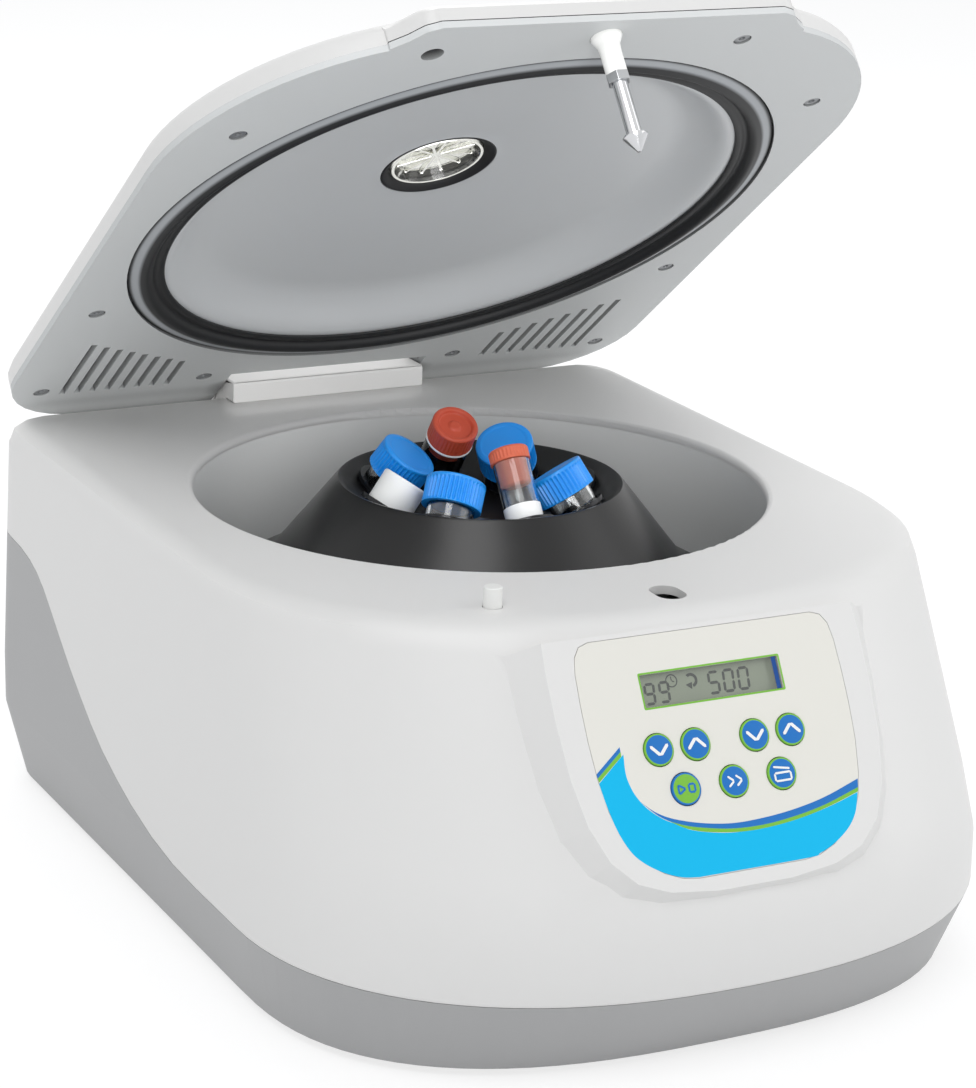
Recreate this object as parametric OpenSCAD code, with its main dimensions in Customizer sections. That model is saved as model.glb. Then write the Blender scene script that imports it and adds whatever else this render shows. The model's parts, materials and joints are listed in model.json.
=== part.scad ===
// Small fixed-angle bench centrifuge with a hinged lid, a tilted key panel
// and an eight-place rotor. Millimetres; X right, front is -Y, bench at Z = 0.
// Rest pose: lid open, locking slide released, every key up.

/* [Housing] */
// half width of the housing at its widest
body_half_width = 136.5; // [134:0.5:144]
// distance from the rotor axis to the frontmost point of the housing
front_reach = 205.5; // [203:0.5:212]
// distance from the rotor axis to the rear wall
rear_reach = 162; // [161:0.5:168]
// height of the flat deck above the bench
deck_height = 146; // [143:0.5:156]
// wall thickness of the two housing mouldings
wall = 3; // [2.4:0.1:3.6]
// gap between the white cover and the grey base
seam_gap = 0.25; // [0.1:0.05:0.5]
// radius of the rear corners in plan
rear_corner = 28; // [24:1:34]

/* [Feet] */
// height of the rubber feet below the base
foot_height = 3.3; // [2:0.1:6]
// radius of a rubber foot
foot_radius = 11; // [8:0.5:13]

/* [Chamber] */
// radius of the round opening in the deck
opening_radius = 105; // [104:0.5:108]
// depth of the chamber floor below the deck
chamber_depth = 73; // [71:0.5:76]
// wall thickness of the chamber bowl
bowl_wall = 2; // [1.5:0.1:2.5]
// rounding of the opening's upper edge
opening_edge = 2.4; // [1:0.1:2.8]

/* [Lid] */
// half width of the lid
lid_half_width = 135; // [132:0.5:136]
// height of the hinge pin above the deck
hinge_height = 5.5; // [5:0.1:6]
// distance of the hinge pin behind the rotor axis
hinge_back = 148.7; // [147.5:0.1:149.5]
// radius of the steel hinge pin
hinge_pin_radius = 1.8; // [1.5:0.05:2]
// clearance of the pin in the hinge block
hinge_clearance = 0.08; // [0.03:0.01:0.1]
// angle that the lid stands open at in the rest pose
lid_open = 37.25; // [30:0.25:39]
// gap between the deck and the closed lid's underside
lid_gap = 2; // [1.8:0.1:2.4]
// thickness of the grey underside plate
liner_thick = 2.4; // [2:0.1:2.8]
// height of the lid's dome above the deck when closed
dome_height = 31; // [30:0.5:36]
// wall thickness of the lid's outer shell
lid_wall = 2.4; // [1.8:0.1:2.8]
// radius of the round hole in the underside plate
liner_hole = 121.5; // [120.5:0.5:122.5]
// radius of the pressed pan's edge
pan_radius = 107; // [106:0.5:108]
// sheet thickness of the pan
pan_thick = 1.2; // [0.8:0.1:1.5]
// height of the pan's centre above the deck when closed
pan_centre = 23.8; // [22.5:0.1:24.2]

/* [Sight port] */
// outer radius of the clear cup
port_radius = 18; // [16:0.1:18.4]
// radius of the black gasket at the pan
gasket_radius = 22; // [21:0.1:23]
// wall thickness of the cup
port_wall = 2; // [1.5:0.1:2.5]

/* [Vent slots] */
// number of slots on each side
slot_count = 8; // [4:1:8]
// spacing of the slots
slot_pitch = 6.13; // [5:0.01:6.13]
// width of a slot
slot_width = 2.5; // [1.5:0.1:3]

/* [Striker and lock] */
// distance of the striker in front of the rotor axis
striker_front = 136.5; // [136:0.1:138]
// radius of the striker's polished rod
rod_radius = 2.6; // [2.2:0.05:2.8]
// radius of the arrowhead
arrow_radius = 4.2; // [3.8:0.05:4.3]
// travel of the locking slide
lock_travel = 7; // [6:0.1:7.5]

/* [Lid pin] */
// radius of the white lid pin
lid_pin_radius = 3.1; // [2.5:0.05:3.3]
// height of the lid pin above the deck
lid_pin_height = 7; // [6:0.1:7]
// distance of the lid pin left of the centre
lid_pin_left = 61; // [60:0.5:62.5]

/* [Key panel] */
// lean of the panel from upright, in degrees
panel_lean = 30.25; // [29.5:0.25:31]
// thickness of the printed overlay
overlay_thick = 0.8; // [0.5:0.05:1]
// radius of a key
key_radius = 5.3; // [4.5:0.05:5.5]
// clearance around a key
key_clearance = 0.3; // [0.25:0.05:0.4]
// height of a key above the overlay
key_proud = 0.9; // [0.5:0.05:1.4]
// travel of a key
key_travel = 0.7; // [0.4:0.05:0.8]
// width of the display window
window_width = 52; // [46:0.5:54]
// height of the display window
window_height = 10.9; // [10:0.1:12]

/* [Rotor] */
// radius of the rotor's top rim
rim_radius = 53; // [52:0.5:54]
// largest radius of the rotor
rotor_radius = 98; // [97.5:0.1:99]
// number of tube places
places = 8; // [6:1:8]
// lean of the tube places from upright, in degrees
tube_lean = 35; // [34:0.5:36]
// outer radius of a tube sleeve
sleeve_radius = 9.3; // [9.2:0.05:9.4]
// radius of the drive shaft
shaft_radius = 5; // [4:0.25:6]

/* [Tubes] */
// outer radius of a tube
tube_radius = 8.3; // [7.5:0.1:8.3]
// outer radius of the narrow tube
narrow_radius = 6.7; // [6:0.1:7]
// wall thickness of a tube
tube_wall = 1; // [0.8:0.1:1.5]
// radius of a ribbed screw cap
cap_radius = 10.9; // [10:0.1:11]

/* [Motor] */
// radius of the motor
motor_radius = 42; // [36:0.5:46]

/* [Hidden] */
$fn = 72;
tiny = 0.01;
bw = body_half_width;
fr = front_reach;
rr = max(rear_reach, hinge_back + 12.3);
axis_y = (fr - rr) / 2;
lid_half = max(lid_half_width, liner_hole + 8);
base_bottom = foot_height - deck_height;
low = (deck_height - foot_height) / 142.7;
floor_top = base_bottom + wall;
panel_top = fr - 49;
sleeve_gap = 0.05;
running = 0.05;
spin_clear = 0.3;
bore_radius = sleeve_radius + sleeve_gap;
flange_radius = sleeve_radius + 1.7;
tube_start = 31.6;
sleeve_end = 75;
sleeve_in = 73.6;
mouth = 11.9;
bowl_top = -wall;
liner_top = lid_gap + liner_thick;
cover_low = liner_top;
cover_edge = 9.5;
notch_half = 42.8;
block_half = 41.6;
notch_front = hinge_back - 15.5;
block_front = hinge_back - 14.2;
block_top = hinge_height + 3.1;
lid_corner = 38;
port_rim = pan_centre + 1.5;
gasket_in = pan_centre + 2.4;
gasket_top = min(pan_centre + 4.2, dome_height - lid_wall - 0.3);
pan_hole = gasket_radius + 0.1;
ledge_y = 143;
ledge_z = -9;
ear_half = 52;
rod_tip = -40.4;
arrow_z = -35.1;
slide_top = -31.9;
slide_thick = 2;
pin_front = 129.7;
pin_hole = lid_pin_radius + spin_clear;
pin_socket = lid_pin_radius + 0.8;
key_hole = key_radius + key_clearance;
key_x = [-24.8, -11.1, 11.1, 24.8, -18, 0, 18];
key_s = [-43.7, -43.7, -43.7, -43.7, -57.5, -57.5, -57.5];
board_depth = 12.4;
switch_top = board_depth - 3.6;
window_s = -24.4;
motor_top = -chamber_depth - bowl_wall - 6;
plate_thick = 3;
motor_low = floor_top + 5;
board_z = base_bottom + 18.7;
socket_z = base_bottom + 35.2;
socket_x = 40;
switch_x = bw - 48.5;
supply_x = 14.5 - bw;
wall_y = rr - 1;
mount_spread = 36;
post_x = 114;
collar_top = -5.7;
spring_low = -28.5;
tube_end = sleeve_in - 0.3;
screw_spots = [[54.4, 133], [121.2, 134], [119.8, 61.7], [111.6, -78.7], [lid_pin_left - 5, -129.7]];
face_points = mirrored([[14, -91.3], [31, -89.3], [42, -85], [50, -77], [55.2, -65],
  [58, -49], [59, -30], [59, -14], [58.4, -4.4]]);
base_points = mirrored([[17, -97], [37, -95.4], [49, -90.4], [58, -81], [63.4, -67],
  [66, -50], [67.4, -30], [68, -14], [68, -5.4]]);
overlay_points = mirrored([[20, -86.4], [26, -85.5], [32, -83], [38, -79], [42, -74.6],
  [45, -68.4], [47, -61], [48.6, -50], [49.2, -38], [49.2, -27], [48.8, -16], [47.8, -10.4],
  [45.6, -7.2], [42, -6]]);

// Points of an arc.
function arc(cx, cy, r, a0, a1, n) =
  [for (i = [0 : n]) let (a = a0 + (a1 - a0) * i / n) [cx + r * cos(a), cy + r * sin(a)]];

// Plan of the housing: rounded rear corners and a bulging front of power m.
function body_ring(hw, front, cy, m, rear, rc) = concat(
  arc(hw - rc, rear - rc, rc, 0, 90, 8),
  arc(-hw + rc, rear - rc, rc, 90, 180, 8),
  [for (i = [0 : 44]) let (t = 180 + 180 * i / 44, c = cos(t), s = -sin(t))
    [hw * sign(c) * pow(abs(c), 2 / m), -cy - (front - cy) * pow(abs(s), 2 / m)]]);

// Levels of the housing: height, half width, front, start of the bulge, power, rear.
function body_levels(w) = [
  [-w, bw - 12.5 - w, fr - 57.5 - w, 46, 2.3, rr - 9 - w],
  [-w - 0.9, bw - 8.5 - w, fr - 52 - w, 48, 2.3, rr - 4.5 - w],
  [-w - 3.5, bw - 5 - w, fr - 48.2 - w, 50, 2.3, rr - 1.5 - w],
  [-w - 9, bw - 3.2 - w, fr - 44.5 - w, 50, 2.3, rr - w],
  [-75 * low, bw - 1 - w, fr - 6.5 - w, 80, 2.3, rr - w],
  [-95 * low, bw - 0.2 - w, fr - w, 90, 2.3, rr - 0.4 - w],
  [-113 * low, bw - w, fr - 1 - w, 95, 2.26, rr - 1.5 - w],
  [base_bottom + max(w, 0), bw - 7 - w, fr - 21.5 - w, 85, 2.6, rr - 5 - w]];

// Skin through rings with equal counts of points: each is a height and a closed outline.
module loft(rings) {
  n = len(rings[0][1]);
  m = len(rings);
  polyhedron(
    points = [for (r = rings) for (p = r[1]) [p[0], p[1], r[0]]],
    faces = concat(
      [[for (i = [n - 1 : -1 : 0]) (m - 1) * n + i]],
      [[for (i = [0 : n - 1]) i]],
      [for (j = [0 : m - 2]) for (i = [0 : n - 1]) [j * n + i, (j + 1) * n + i, (j + 1) * n + (i + 1) % n]],
      [for (j = [0 : m - 2]) for (i = [0 : n - 1])
          [j * n + i, (j + 1) * n + (i + 1) % n, j * n + (i + 1) % n]]));
}

// Round wire wound about the z axis from height a to height b.
module coil(r, wire, a, b, turns) {
  n = turns * 20;
  m = 8;
  polyhedron(
    points = [for (i = [0 : n]) for (k = [0 : m - 1])
      let (q = r + wire * cos(360 * k / m), t = 360 * turns * i / n)
      [q * cos(t), q * sin(t), a + wire + (b - a - 2 * wire) * i / n + wire * sin(360 * k / m)]],
    faces = concat(
      [[for (k = [m - 1 : -1 : 0]) k]],
      [[for (k = [0 : m - 1]) n * m + k]],
      [for (i = [0 : n - 1]) for (k = [0 : m - 1])
        [i * m + k, (i + 1) * m + (k + 1) % m, (i + 1) * m + k]],
      [for (i = [0 : n - 1]) for (k = [0 : m - 1])
        [i * m + k, i * m + (k + 1) % m, (i + 1) * m + (k + 1) % m]]));
}

module deck_frame() {
  translate([0, axis_y, deck_height]) children();
}

module body_hull(w) {
  loft([for (i = [7 : -1 : 0]) let (l = body_levels(w)[i])
    [l[0], body_ring(l[1], l[2], l[3], l[4], l[5], rear_corner - w)]]);
}

// The seam sweeps from low at the front to high at the rear: distance back, height.
function seam_points(d) = [for (p = [[-260, -114], [-60, -114], [-40, -113], [-20, -110.5],
  [0, -106], [15, -101.3], [29, -96], [42, -89.7], [54, -82.8], [66, -75.4], [78, -67],
  [88, -59.8], [96, -54.2], [104, -50], [112, -47.3], [122, -45.4], [134, -44.4],
  [260, -44]]) [p[0], p[1] * low + d]];

module above_seam(d) {
  rotate([90, 0, 90])
    translate([0, 0, -200])
      linear_extrude(400)
        polygon(concat(seam_points(d), [[260, 80], [-260, 80]]));
}

module panel_frame() {
  translate([0, -panel_top, 0]) rotate([90 - panel_lean, 0, 0]) children();
}

function mirrored(p) = concat(p, [for (i = [len(p) - 1 : -1 : 0]) [-p[i][0], p[i][1]]]);

module post(x, y, top, r) {
  translate([x, y, floor_top - tiny]) cylinder(h = top - floor_top + tiny, r = r);
}

module base_housing() {
  color("darkgray") deck_frame() {
    difference() {
      body_hull(0);
      body_hull(wall);
      above_seam(-seam_gap);
      translate([socket_x - 14, rr - 20, socket_z - 10.5]) cube([28, 40, 21]);
      translate([switch_x - 10.7, rr - 20, socket_z - 7.5]) cube([21.4, 40, 15]);
      translate([socket_x - 16.6, wall_y - 0.7, socket_z - 13.1]) cube([33.2, 40, 26.2]);
      translate([switch_x - 13.1, wall_y - 0.7, socket_z - 10.6]) cube([26.2, 40, 21.2]);
      for (i = [-5 : 5]) {
        translate([-70 + i * 7, rr - 20, socket_z - 10.5]) cube([3, 40, 34]);
      }
      for (i = [-4 : 4]) {
        translate([i * 9 - 2, -70, base_bottom - 1]) cube([4, 50, wall + 2]);
      }
      for (x = [-95, 95], y = [-110, 110]) {
        translate([x, y, base_bottom - 1]) cylinder(h = wall + 2, r = 3);
      }
    }
    for (x = [-post_x, post_x], y = [-62, 92]) {
      post(x, y, -wall, 5);
    }
    for (x = [-mount_spread, mount_spread], y = [-mount_spread, mount_spread]) {
      post(x, y, motor_top - plate_thick - 12, 7);
    }
    for (x = [-60, 60], y = [-165, -125]) {
      post(x, y, board_z, 3.5);
    }
  }
}

module top_cover() {
  color("whitesmoke") deck_frame() {
    difference() {
      union() {
        difference() {
          union() {
            body_hull(0);
            panel_frame() loft([[-11, base_points], [0, face_points]]);
          }
          body_hull(wall);
          panel_frame() translate([0, 0, -17]) linear_extrude(13.5)
            polygon(mirrored([[41, -82], [53, -70], [53, -10]]));
        }
        intersection() {
          body_hull(0);
          union() {
            translate([-200, ledge_y - wall, ledge_z - wall]) cube([400, wall, 40]);
            translate([-200, ledge_y - wall, ledge_z - wall]) cube([400, 80, wall]);
          }
        }
        translate([-lid_pin_left - 9, -pin_front - 9, -5.5]) cube([18, 18, 4]);
      }
      below_seam();
      translate([0, 0, -20]) cylinder(h = 40, r = opening_radius, $fn = 144);
      translate([0, 0, -opening_edge]) rotate_extrude($fn = 144) difference() {
        translate([opening_radius - 1, 0]) square([opening_edge + 1, opening_edge + 1]);
        translate([opening_radius + opening_edge, 0]) circle(r = opening_edge, $fn = 48);
      }
      translate([-200, ledge_y, ledge_z]) cube([400, 60, 40]);
      striker_slot();
      translate([-lid_pin_left, -pin_front, -20]) cylinder(h = 40, r = pin_hole);
      panel_frame() translate([0, 0, -overlay_thick]) linear_extrude(8) polygon(overlay_points);
      panel_frame() translate([-window_width / 2 - 1, window_s - window_height / 2 - 1, -10])
        cube([window_width + 2, window_height + 2, 12]);
      panel_frame() for (i = [0 : 6]) {
        translate([key_x[i], key_s[i], -12]) cylinder(h = 20, r = key_hole);
      }
    }
  }
}

// Everything below the seam.
module below_seam() {
  rotate([90, 0, 90])
    translate([0, 0, -200])
      linear_extrude(400)
        polygon(concat([[260, -300], [-260, -300]], seam_points(0)));
}

// Oblong hole that the striker's arc needs in the deck.
module striker_slot() {
  translate([0, -striker_front + 0.8, -20]) cylinder(h = 40, r = arrow_radius + 1.05);
  translate([0, -striker_front - 3.4, -20]) cylinder(h = 40, r = arrow_radius + 1.05);
  translate([-arrow_radius - 1.05, -striker_front - 3.4, -20]) cube([2 * arrow_radius + 2.1, 4.2, 40]);
}

module hinge_block() {
  color("whitesmoke") deck_frame() difference() {
    rotate([90, 0, 90]) translate([0, 0, -block_half]) linear_extrude(2 * block_half)
      polygon([[block_front, 0], [block_front, block_top - 1], [block_front + 1, block_top],
        [rr - 6, block_top], [rr - 4, block_top - 2], [rr - 4, ledge_z],
        [ledge_y, ledge_z], [ledge_y, 0]]);
    translate([-block_half - 1, hinge_back, hinge_height]) rotate([0, 90, 0])
      cylinder(h = 2 * block_half + 2, r = hinge_pin_radius + hinge_clearance);
  }
}

module chamber_bowl() {
  r = opening_radius;
  w = bowl_wall;
  d = chamber_depth;
  color("lightgray") deck_frame() difference() {
    rotate_extrude($fn = 144) polygon(concat(
      [[r + 7, bowl_top], [r, bowl_top], [r - 0.5, -40]],
      arc(r - 16.5, -d + 14, 14, 0, -90, 10),
      [[22, -d], [20, -d + 5], [17, -d + 5], [17, -d - w], [r - 16.5, -d - w]],
      arc(r - 16.5, -d + 14, 14 + w, -80, 0, 9),
      [[r - 0.5 + w, -40], [r + w, bowl_top - 2.5], [r + 7, bowl_top - 2.5]]));
  }
}

module panel_overlay() {
  color("ivory") deck_frame() panel_frame() difference() {
    translate([0, 0, -overlay_thick]) linear_extrude(overlay_thick) offset_points();
    translate([-window_width / 2, window_s - window_height / 2, -5])
      cube([window_width, window_height, 10]);
    for (i = [0 : 6]) {
      translate([key_x[i], key_s[i], -5]) cylinder(h = 10, r = key_hole);
    }
  }
}

module offset_points() {
  polygon([for (p = overlay_points) [p[0] * 0.996, -46 + (p[1] + 46) * 0.996]]);
}

module display_window() {
  color("lightsteelblue") deck_frame() panel_frame() union() {
    translate([-window_width / 2 + 0.1, window_s - window_height / 2 + 0.1, -overlay_thick - 1.4])
      cube([window_width - 0.2, window_height - 0.2, overlay_thick + 1.2]);
    translate([-window_width / 2 - 0.8, window_s - window_height / 2 - 0.8, -overlay_thick - 1.4])
      cube([window_width + 1.6, window_height + 1.6, 1.3]);
  }
}

module display_module() {
  color("darkseagreen") deck_frame() panel_frame()
    translate([-window_width / 2 - 0.8, window_s - window_height / 2 - 0.8, -board_depth])
      cube([window_width + 1.6, window_height + 1.6, board_depth - overlay_thick - 1.4]);
}

module key_board() {
  color("darkgreen") deck_frame() panel_frame() {
    translate([0, 0, -board_depth - 1.6]) linear_extrude(1.6)
      polygon(mirrored([[39.5, -80], [51, -68.5], [51, -12]]));
    for (i = [0 : 6]) {
      translate([key_x[i] - 3, key_s[i] - 3, -board_depth]) cube([6, 6, 3]);
      translate([key_x[i], key_s[i], -board_depth + 2.9]) cylinder(h = 0.7, r = 1.7);
    }
    for (p = [[-49, -14], [49, -14], [-36, -76], [36, -76]]) {
      translate([p[0], p[1], -board_depth]) cylinder(h = board_depth - 3.5, r = 2.4);
    }
  }
}

// A key: a round cap with a stem that stops short of its switch by its travel.
module one_key(i) {
  deck_frame() panel_frame() translate([key_x[i], key_s[i], 0]) rotate_extrude()
    polygon([[0, key_proud], [key_radius - 0.5, key_proud], [key_radius, key_proud - 0.4],
      [key_radius, -3.2], [1.6, -3.2], [1.6, -switch_top + key_travel + 0.3],
      [0, -switch_top + key_travel + 0.3]]);
}

module key_time_down() { color("steelblue") one_key(0); }
module key_time_up() { color("steelblue") one_key(1); }
module key_speed_down() { color("steelblue") one_key(2); }
module key_speed_up() { color("steelblue") one_key(3); }
module key_start_stop() { color("yellowgreen") one_key(4); }
module key_quick() { color("steelblue") one_key(5); }
module key_open() { color("steelblue") one_key(6); }

// Closed-lid coordinates turned to the open rest pose.
module lid_frame() {
  deck_frame() translate([0, hinge_back, hinge_height]) rotate([-lid_open, 0, 0])
    translate([0, -hinge_back, -hinge_height]) children();
}

// Plan of the lid inset by o: rear corners are tighter than the front ones.
function lid_ring(o) = let (h = lid_half - o, f = 139 - o, b = 160 - o,
  rc = max(lid_corner - o, 3), rf = max(87 - o, 12)) concat(
  arc(h - rc, b - rc, rc, 0, 90, 8),
  arc(-h + rc, b - rc, rc, 90, 180, 8),
  arc(-h + rf, -f + rf, rf, 180, 270, 20),
  arc(h - rf, -f + rf, rf, 270, 360, 20));

// Tab at the front edge of the lid.
function lid_tab(o) = let (a = [[77, -118], [78, -134.8], [73, -139.4], [69, -145], [64, -147.5]])
  concat([for (i = [4 : -1 : 0]) [a[i][0], i == 0 ? a[i][1] : a[i][1] + o]],
    [for (i = [0 : 4]) [-a[i][0], i == 0 ? a[i][1] : a[i][1] + o]]);

module lid_plan(o) {
  polygon(lid_ring(o));
  polygon(lid_tab(o));
}

// The left front spot is the lid pin's socket and takes no screw.
module lid_screw_places() {
  for (p = screw_spots) {
    translate([p[0], p[1], 0]) children();
  }
  for (i = [0 : 3]) {
    translate([-screw_spots[i][0], screw_spots[i][1], 0]) children();
  }
}

module lid_liner() {
  color("lightgray") lid_frame() difference() {
    union() {
      translate([0, 0, lid_gap]) linear_extrude(liner_thick) lid_plan(0);
      lid_screw_places() translate([0, 0, liner_top - tiny]) cylinder(h = 3, r = 4.4);
      translate([-lid_pin_left, -pin_front, liner_top - tiny]) cylinder(h = 5, r = pin_socket + 1.5);
      translate([notch_half, hinge_back - 7, lid_gap]) cube([ear_half - notch_half, 14, 7.6]);
      translate([-ear_half, hinge_back - 7, lid_gap]) cube([ear_half - notch_half, 14, 7.6]);
      translate([0, -striker_front, lid_gap]) cylinder(h = 5.4, r = 7);
    }
    translate([0, 0, -1]) cylinder(h = 20, r = liner_hole, $fn = 144);
    translate([-notch_half, notch_front, -1]) cube([2 * notch_half, 60, 20]);
    translate([-60, hinge_back, hinge_height]) rotate([0, 90, 0]) cylinder(h = 120, r = hinge_pin_radius);
    lid_screw_places() translate([0, 0, -1]) cylinder(h = lid_gap + 3.2, r = 3.2);
    translate([-lid_pin_left, -pin_front, -1]) cylinder(h = lid_pin_height + 1.4, r = pin_socket);
    translate([0, -striker_front, -1]) cylinder(h = 6.2, r = 5.5);
    translate([0, -striker_front, -1]) cylinder(h = 20, r = rod_radius);
    for (s = [-1, 1], i = [0 : slot_count - 1]) {
      translate([s * (69.2 + i * slot_pitch) - slot_width / 2, 114.8 - 3.4 * i, -1])
        cube([slot_width, 22.6 + 3.4 * i, 20]);
    }
  }
}

// Levels of the lid's outer skin: height, inset.
function dome_levels(w) = [
  [cover_edge, w], [cover_edge + 2.4 - w * 0.6, 1.4 + w], [cover_edge + 4.5 - w, 6 + w],
  [dome_height - 9.5 - w, 36 + w], [dome_height - 3.2 - w, 66 + w],
  [dome_height - 0.6 - w, 88 + w], [dome_height - w, 98 + w]];

module dome_hull(w, low) {
  loft([for (l = concat([[low, w]], dome_levels(w))) [l[0], lid_ring(l[1])]]);
}

module lid_cover() {
  color("whitesmoke") lid_frame() difference() {
    union() {
      dome_hull(0, cover_low);
      loft([[cover_low + 0.3, lid_tab(0)], [cover_edge - 0.4, lid_tab(0)],
        [cover_edge + 1.5, lid_tab(2)], [cover_edge + 3.2, lid_tab(13)]]);
    }
    difference() {
      union() {
        dome_hull(lid_wall, cover_low - 1);
        translate([-62, -145, cover_low - 1]) cube([124, 20, cover_edge - 2 - cover_low + 1]);
      }
      translate([-notch_half - lid_wall, notch_front - lid_wall, 0])
        cube([2 * notch_half + 2 * lid_wall, 60, 60]);
    }
    translate([-notch_half, notch_front, 0]) cube([2 * notch_half, 60, 60]);
    translate([0, 0, 10]) cylinder(h = 30, r = port_radius + 0.3);
    translate([-60, hinge_back - 7.1, cover_low - 1]) cube([120, 14.2, 7.6 - liner_thick + 1.1]);
  }
}

module lid_seal() {
  color("dimgray") lid_frame() rotate_extrude($fn = 144)
    polygon([[pan_radius, liner_top], [liner_hole - 0.2, liner_top], [liner_hole - 0.2, lid_gap + 0.8],
      [118.4, lid_gap - 0.2], [115, 0.55], [113.9, 0.4], [113.1, 0.9], [112.6, 2.4],
      [110, 3.4], [pan_radius, 3.8]]);
}

module lid_pan() {
  t = pan_thick;
  z = liner_top;
  c = pan_centre;
  g = pan_hole;
  color("silver") lid_frame() rotate_extrude($fn = 144)
    polygon([[128, z], [pan_radius, z], [104, z + 1], [97, c - 11.4], [91, c - 7.8], [86, c - 6.6],
      [60, c - 3.4], [g + 4, c], [g, c], [g, c + t],
      [g + 4, c + t], [60, c - 3.4 + t], [86, c - 6.6 + t], [91.4, c - 7.6 + t],
      [98, c - 10.6 + t], [105, z + 1 + t], [108, z + t], [128, z + t]]);
}

module port_gasket() {
  g = gasket_radius;
  p = port_radius + 0.1;
  c = pan_centre;
  t = pan_centre + pan_thick;
  color("black") lid_frame() rotate_extrude()
    polygon([[p, gasket_in], [g - 0.6, c - 0.3], [g, c], [g, t], [g + 2.6, t],
      [g + 2.6, t + 1], [g - 1, gasket_top], [p, gasket_top]]);
}

module sight_port() {
  r = port_radius;
  i = port_radius - port_wall;
  z = port_rim;
  t = dome_height;
  color("lightcyan") lid_frame() {
    rotate_extrude() polygon([[0, t + 1.6], [r + 4, t + 1.6], [r + 5, t + 0.8], [r + 5, t],
      [r, t], [r, z + 1], [r - 0.6, z], [i + 0.4, z], [i - 1.6, t - 1.2], [0, t - 1.2]]);
    for (a = [0 : 30 : 150]) {
      rotate([0, 0, a]) translate([-i + 1.2, -0.5, t - 3.2]) cube([2 * i - 2.4, 1, 2.2]);
    }
  }
}

module lid_screws() {
  color("silver") lid_frame() lid_screw_places() difference() {
    translate([0, 0, lid_gap + 0.5]) cylinder(h = 1.7, r = 2.9);
    translate([0, 0, lid_gap]) cylinder(h = 1.6, r = 1.2, $fn = 16);
  }
}

module striker_sleeve() {
  color("white") lid_frame() translate([0, -striker_front, 0]) rotate_extrude()
    polygon([[rod_radius, lid_gap + 3.2], [5.4, lid_gap + 3.2], [5.4, lid_gap - 0.6],
      [3.9, lid_gap - 3.4], [3.65, lid_gap - 6], [3.65, -12], [rod_radius, -12]]);
}

module striker_nut() {
  color("silver") lid_frame() translate([0, -striker_front, -15.2]) difference() {
    linear_extrude(3.2) polygon(arc(0, 0, 4.2, 0, 300, 5));
    translate([0, 0, -1]) cylinder(h = 6, r = rod_radius);
  }
}

module striker_rod() {
  color("silver") lid_frame() translate([0, -striker_front, 0]) rotate_extrude()
    polygon([[0, liner_top + 2.6], [rod_radius, liner_top + 2.6], [rod_radius, arrow_z + 1.2],
      [arrow_radius, arrow_z + 0.5], [arrow_radius, arrow_z], [0.6, rod_tip], [0, rod_tip]]);
}

module hinge_pin() {
  color("silver") deck_frame() translate([-ear_half - 0.5, hinge_back, hinge_height]) rotate([0, 90, 0])
    cylinder(h = 2 * ear_half + 1, r = hinge_pin_radius);
}

module latch_frame() {
  y = -striker_front - 1;
  color("silver") deck_frame() difference() {
    union() {
      translate([-70, y - 10, -30]) cube([136, 20, 1.5]);
      translate([-30, y - 7, -30]) cube([8, 17, 30 - wall]);
      translate([14, y - 7, -30]) cube([8, 17, 30 - wall]);
      translate([-30, y + 8.5, -44]) cube([96, 1.5, 14.2]);
      translate([-68, y + 9, -30]) cube([22, 9.5, 1.5]);
      translate([-68, y + 17, -48]) cube([22, 1.5, 19.5]);
    }
    striker_slot_low();
    translate([-lid_pin_left, -pin_front, -40]) cylinder(h = 30, r = pin_hole);
  }
}

module striker_slot_low() {
  translate([0, -striker_front, -60]) cylinder(h = 40, r = arrow_radius + 1.8);
  translate([-arrow_radius - 1.05, -striker_front - 7, -60]) cube([2 * arrow_radius + 2.1, 7, 40]);
}

// Slide with a keyhole, and the solenoid plunger that carries it.
module lock_slide() {
  y = -striker_front - 1;
  color("goldenrod") deck_frame() difference() {
    union() {
      translate([-12, y - 7, slide_top - slide_thick]) cube([34, 14, slide_thick]);
      translate([20, y, slide_top - slide_thick - 3]) rotate([0, 90, 0]) cylinder(h = 22, r = 3);
      translate([19.5, y - 4, slide_top - slide_thick - 3]) cube([3, 8, 3.1]);
    }
    translate([0, -striker_front, -60]) cylinder(h = 60, r = arrow_radius + 1.1);
    translate([0, -striker_front - rod_radius - 0.5, -60])
      cube([lock_travel + rod_radius + 1, 2 * rod_radius + 1, 60]);
    translate([lock_travel, -striker_front, -60]) cylinder(h = 60, r = rod_radius + 0.5);
  }
}

module lock_solenoid() {
  y = -striker_front - 1;
  z = slide_top - slide_thick - 3;
  color("darkslategray") deck_frame() difference() {
    translate([32, y - 8, z - 8]) cube([30, 16.5, 13.7]);
    translate([31, y, z]) rotate([0, 90, 0]) cylinder(h = 29, r = 3 + running);
  }
}

module lid_pin() {
  color("white") deck_frame() translate([-lid_pin_left, -pin_front, 0]) rotate_extrude()
    polygon([[0, lid_pin_height], [lid_pin_radius - 0.3, lid_pin_height],
      [lid_pin_radius, lid_pin_height - 0.3], [lid_pin_radius, collar_top],
      [5, collar_top], [5, collar_top - 1.8], [2.2, collar_top - 1.8], [2.2, -31.4], [0, -31.4]]);
}

// Return spring between the pin's collar and the frame.
module lid_pin_spring() {
  color("silver") deck_frame() translate([-lid_pin_left, -pin_front, 0])
    coil(3.9, 0.5, spring_low, collar_top - 1.8, 8);
}

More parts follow.
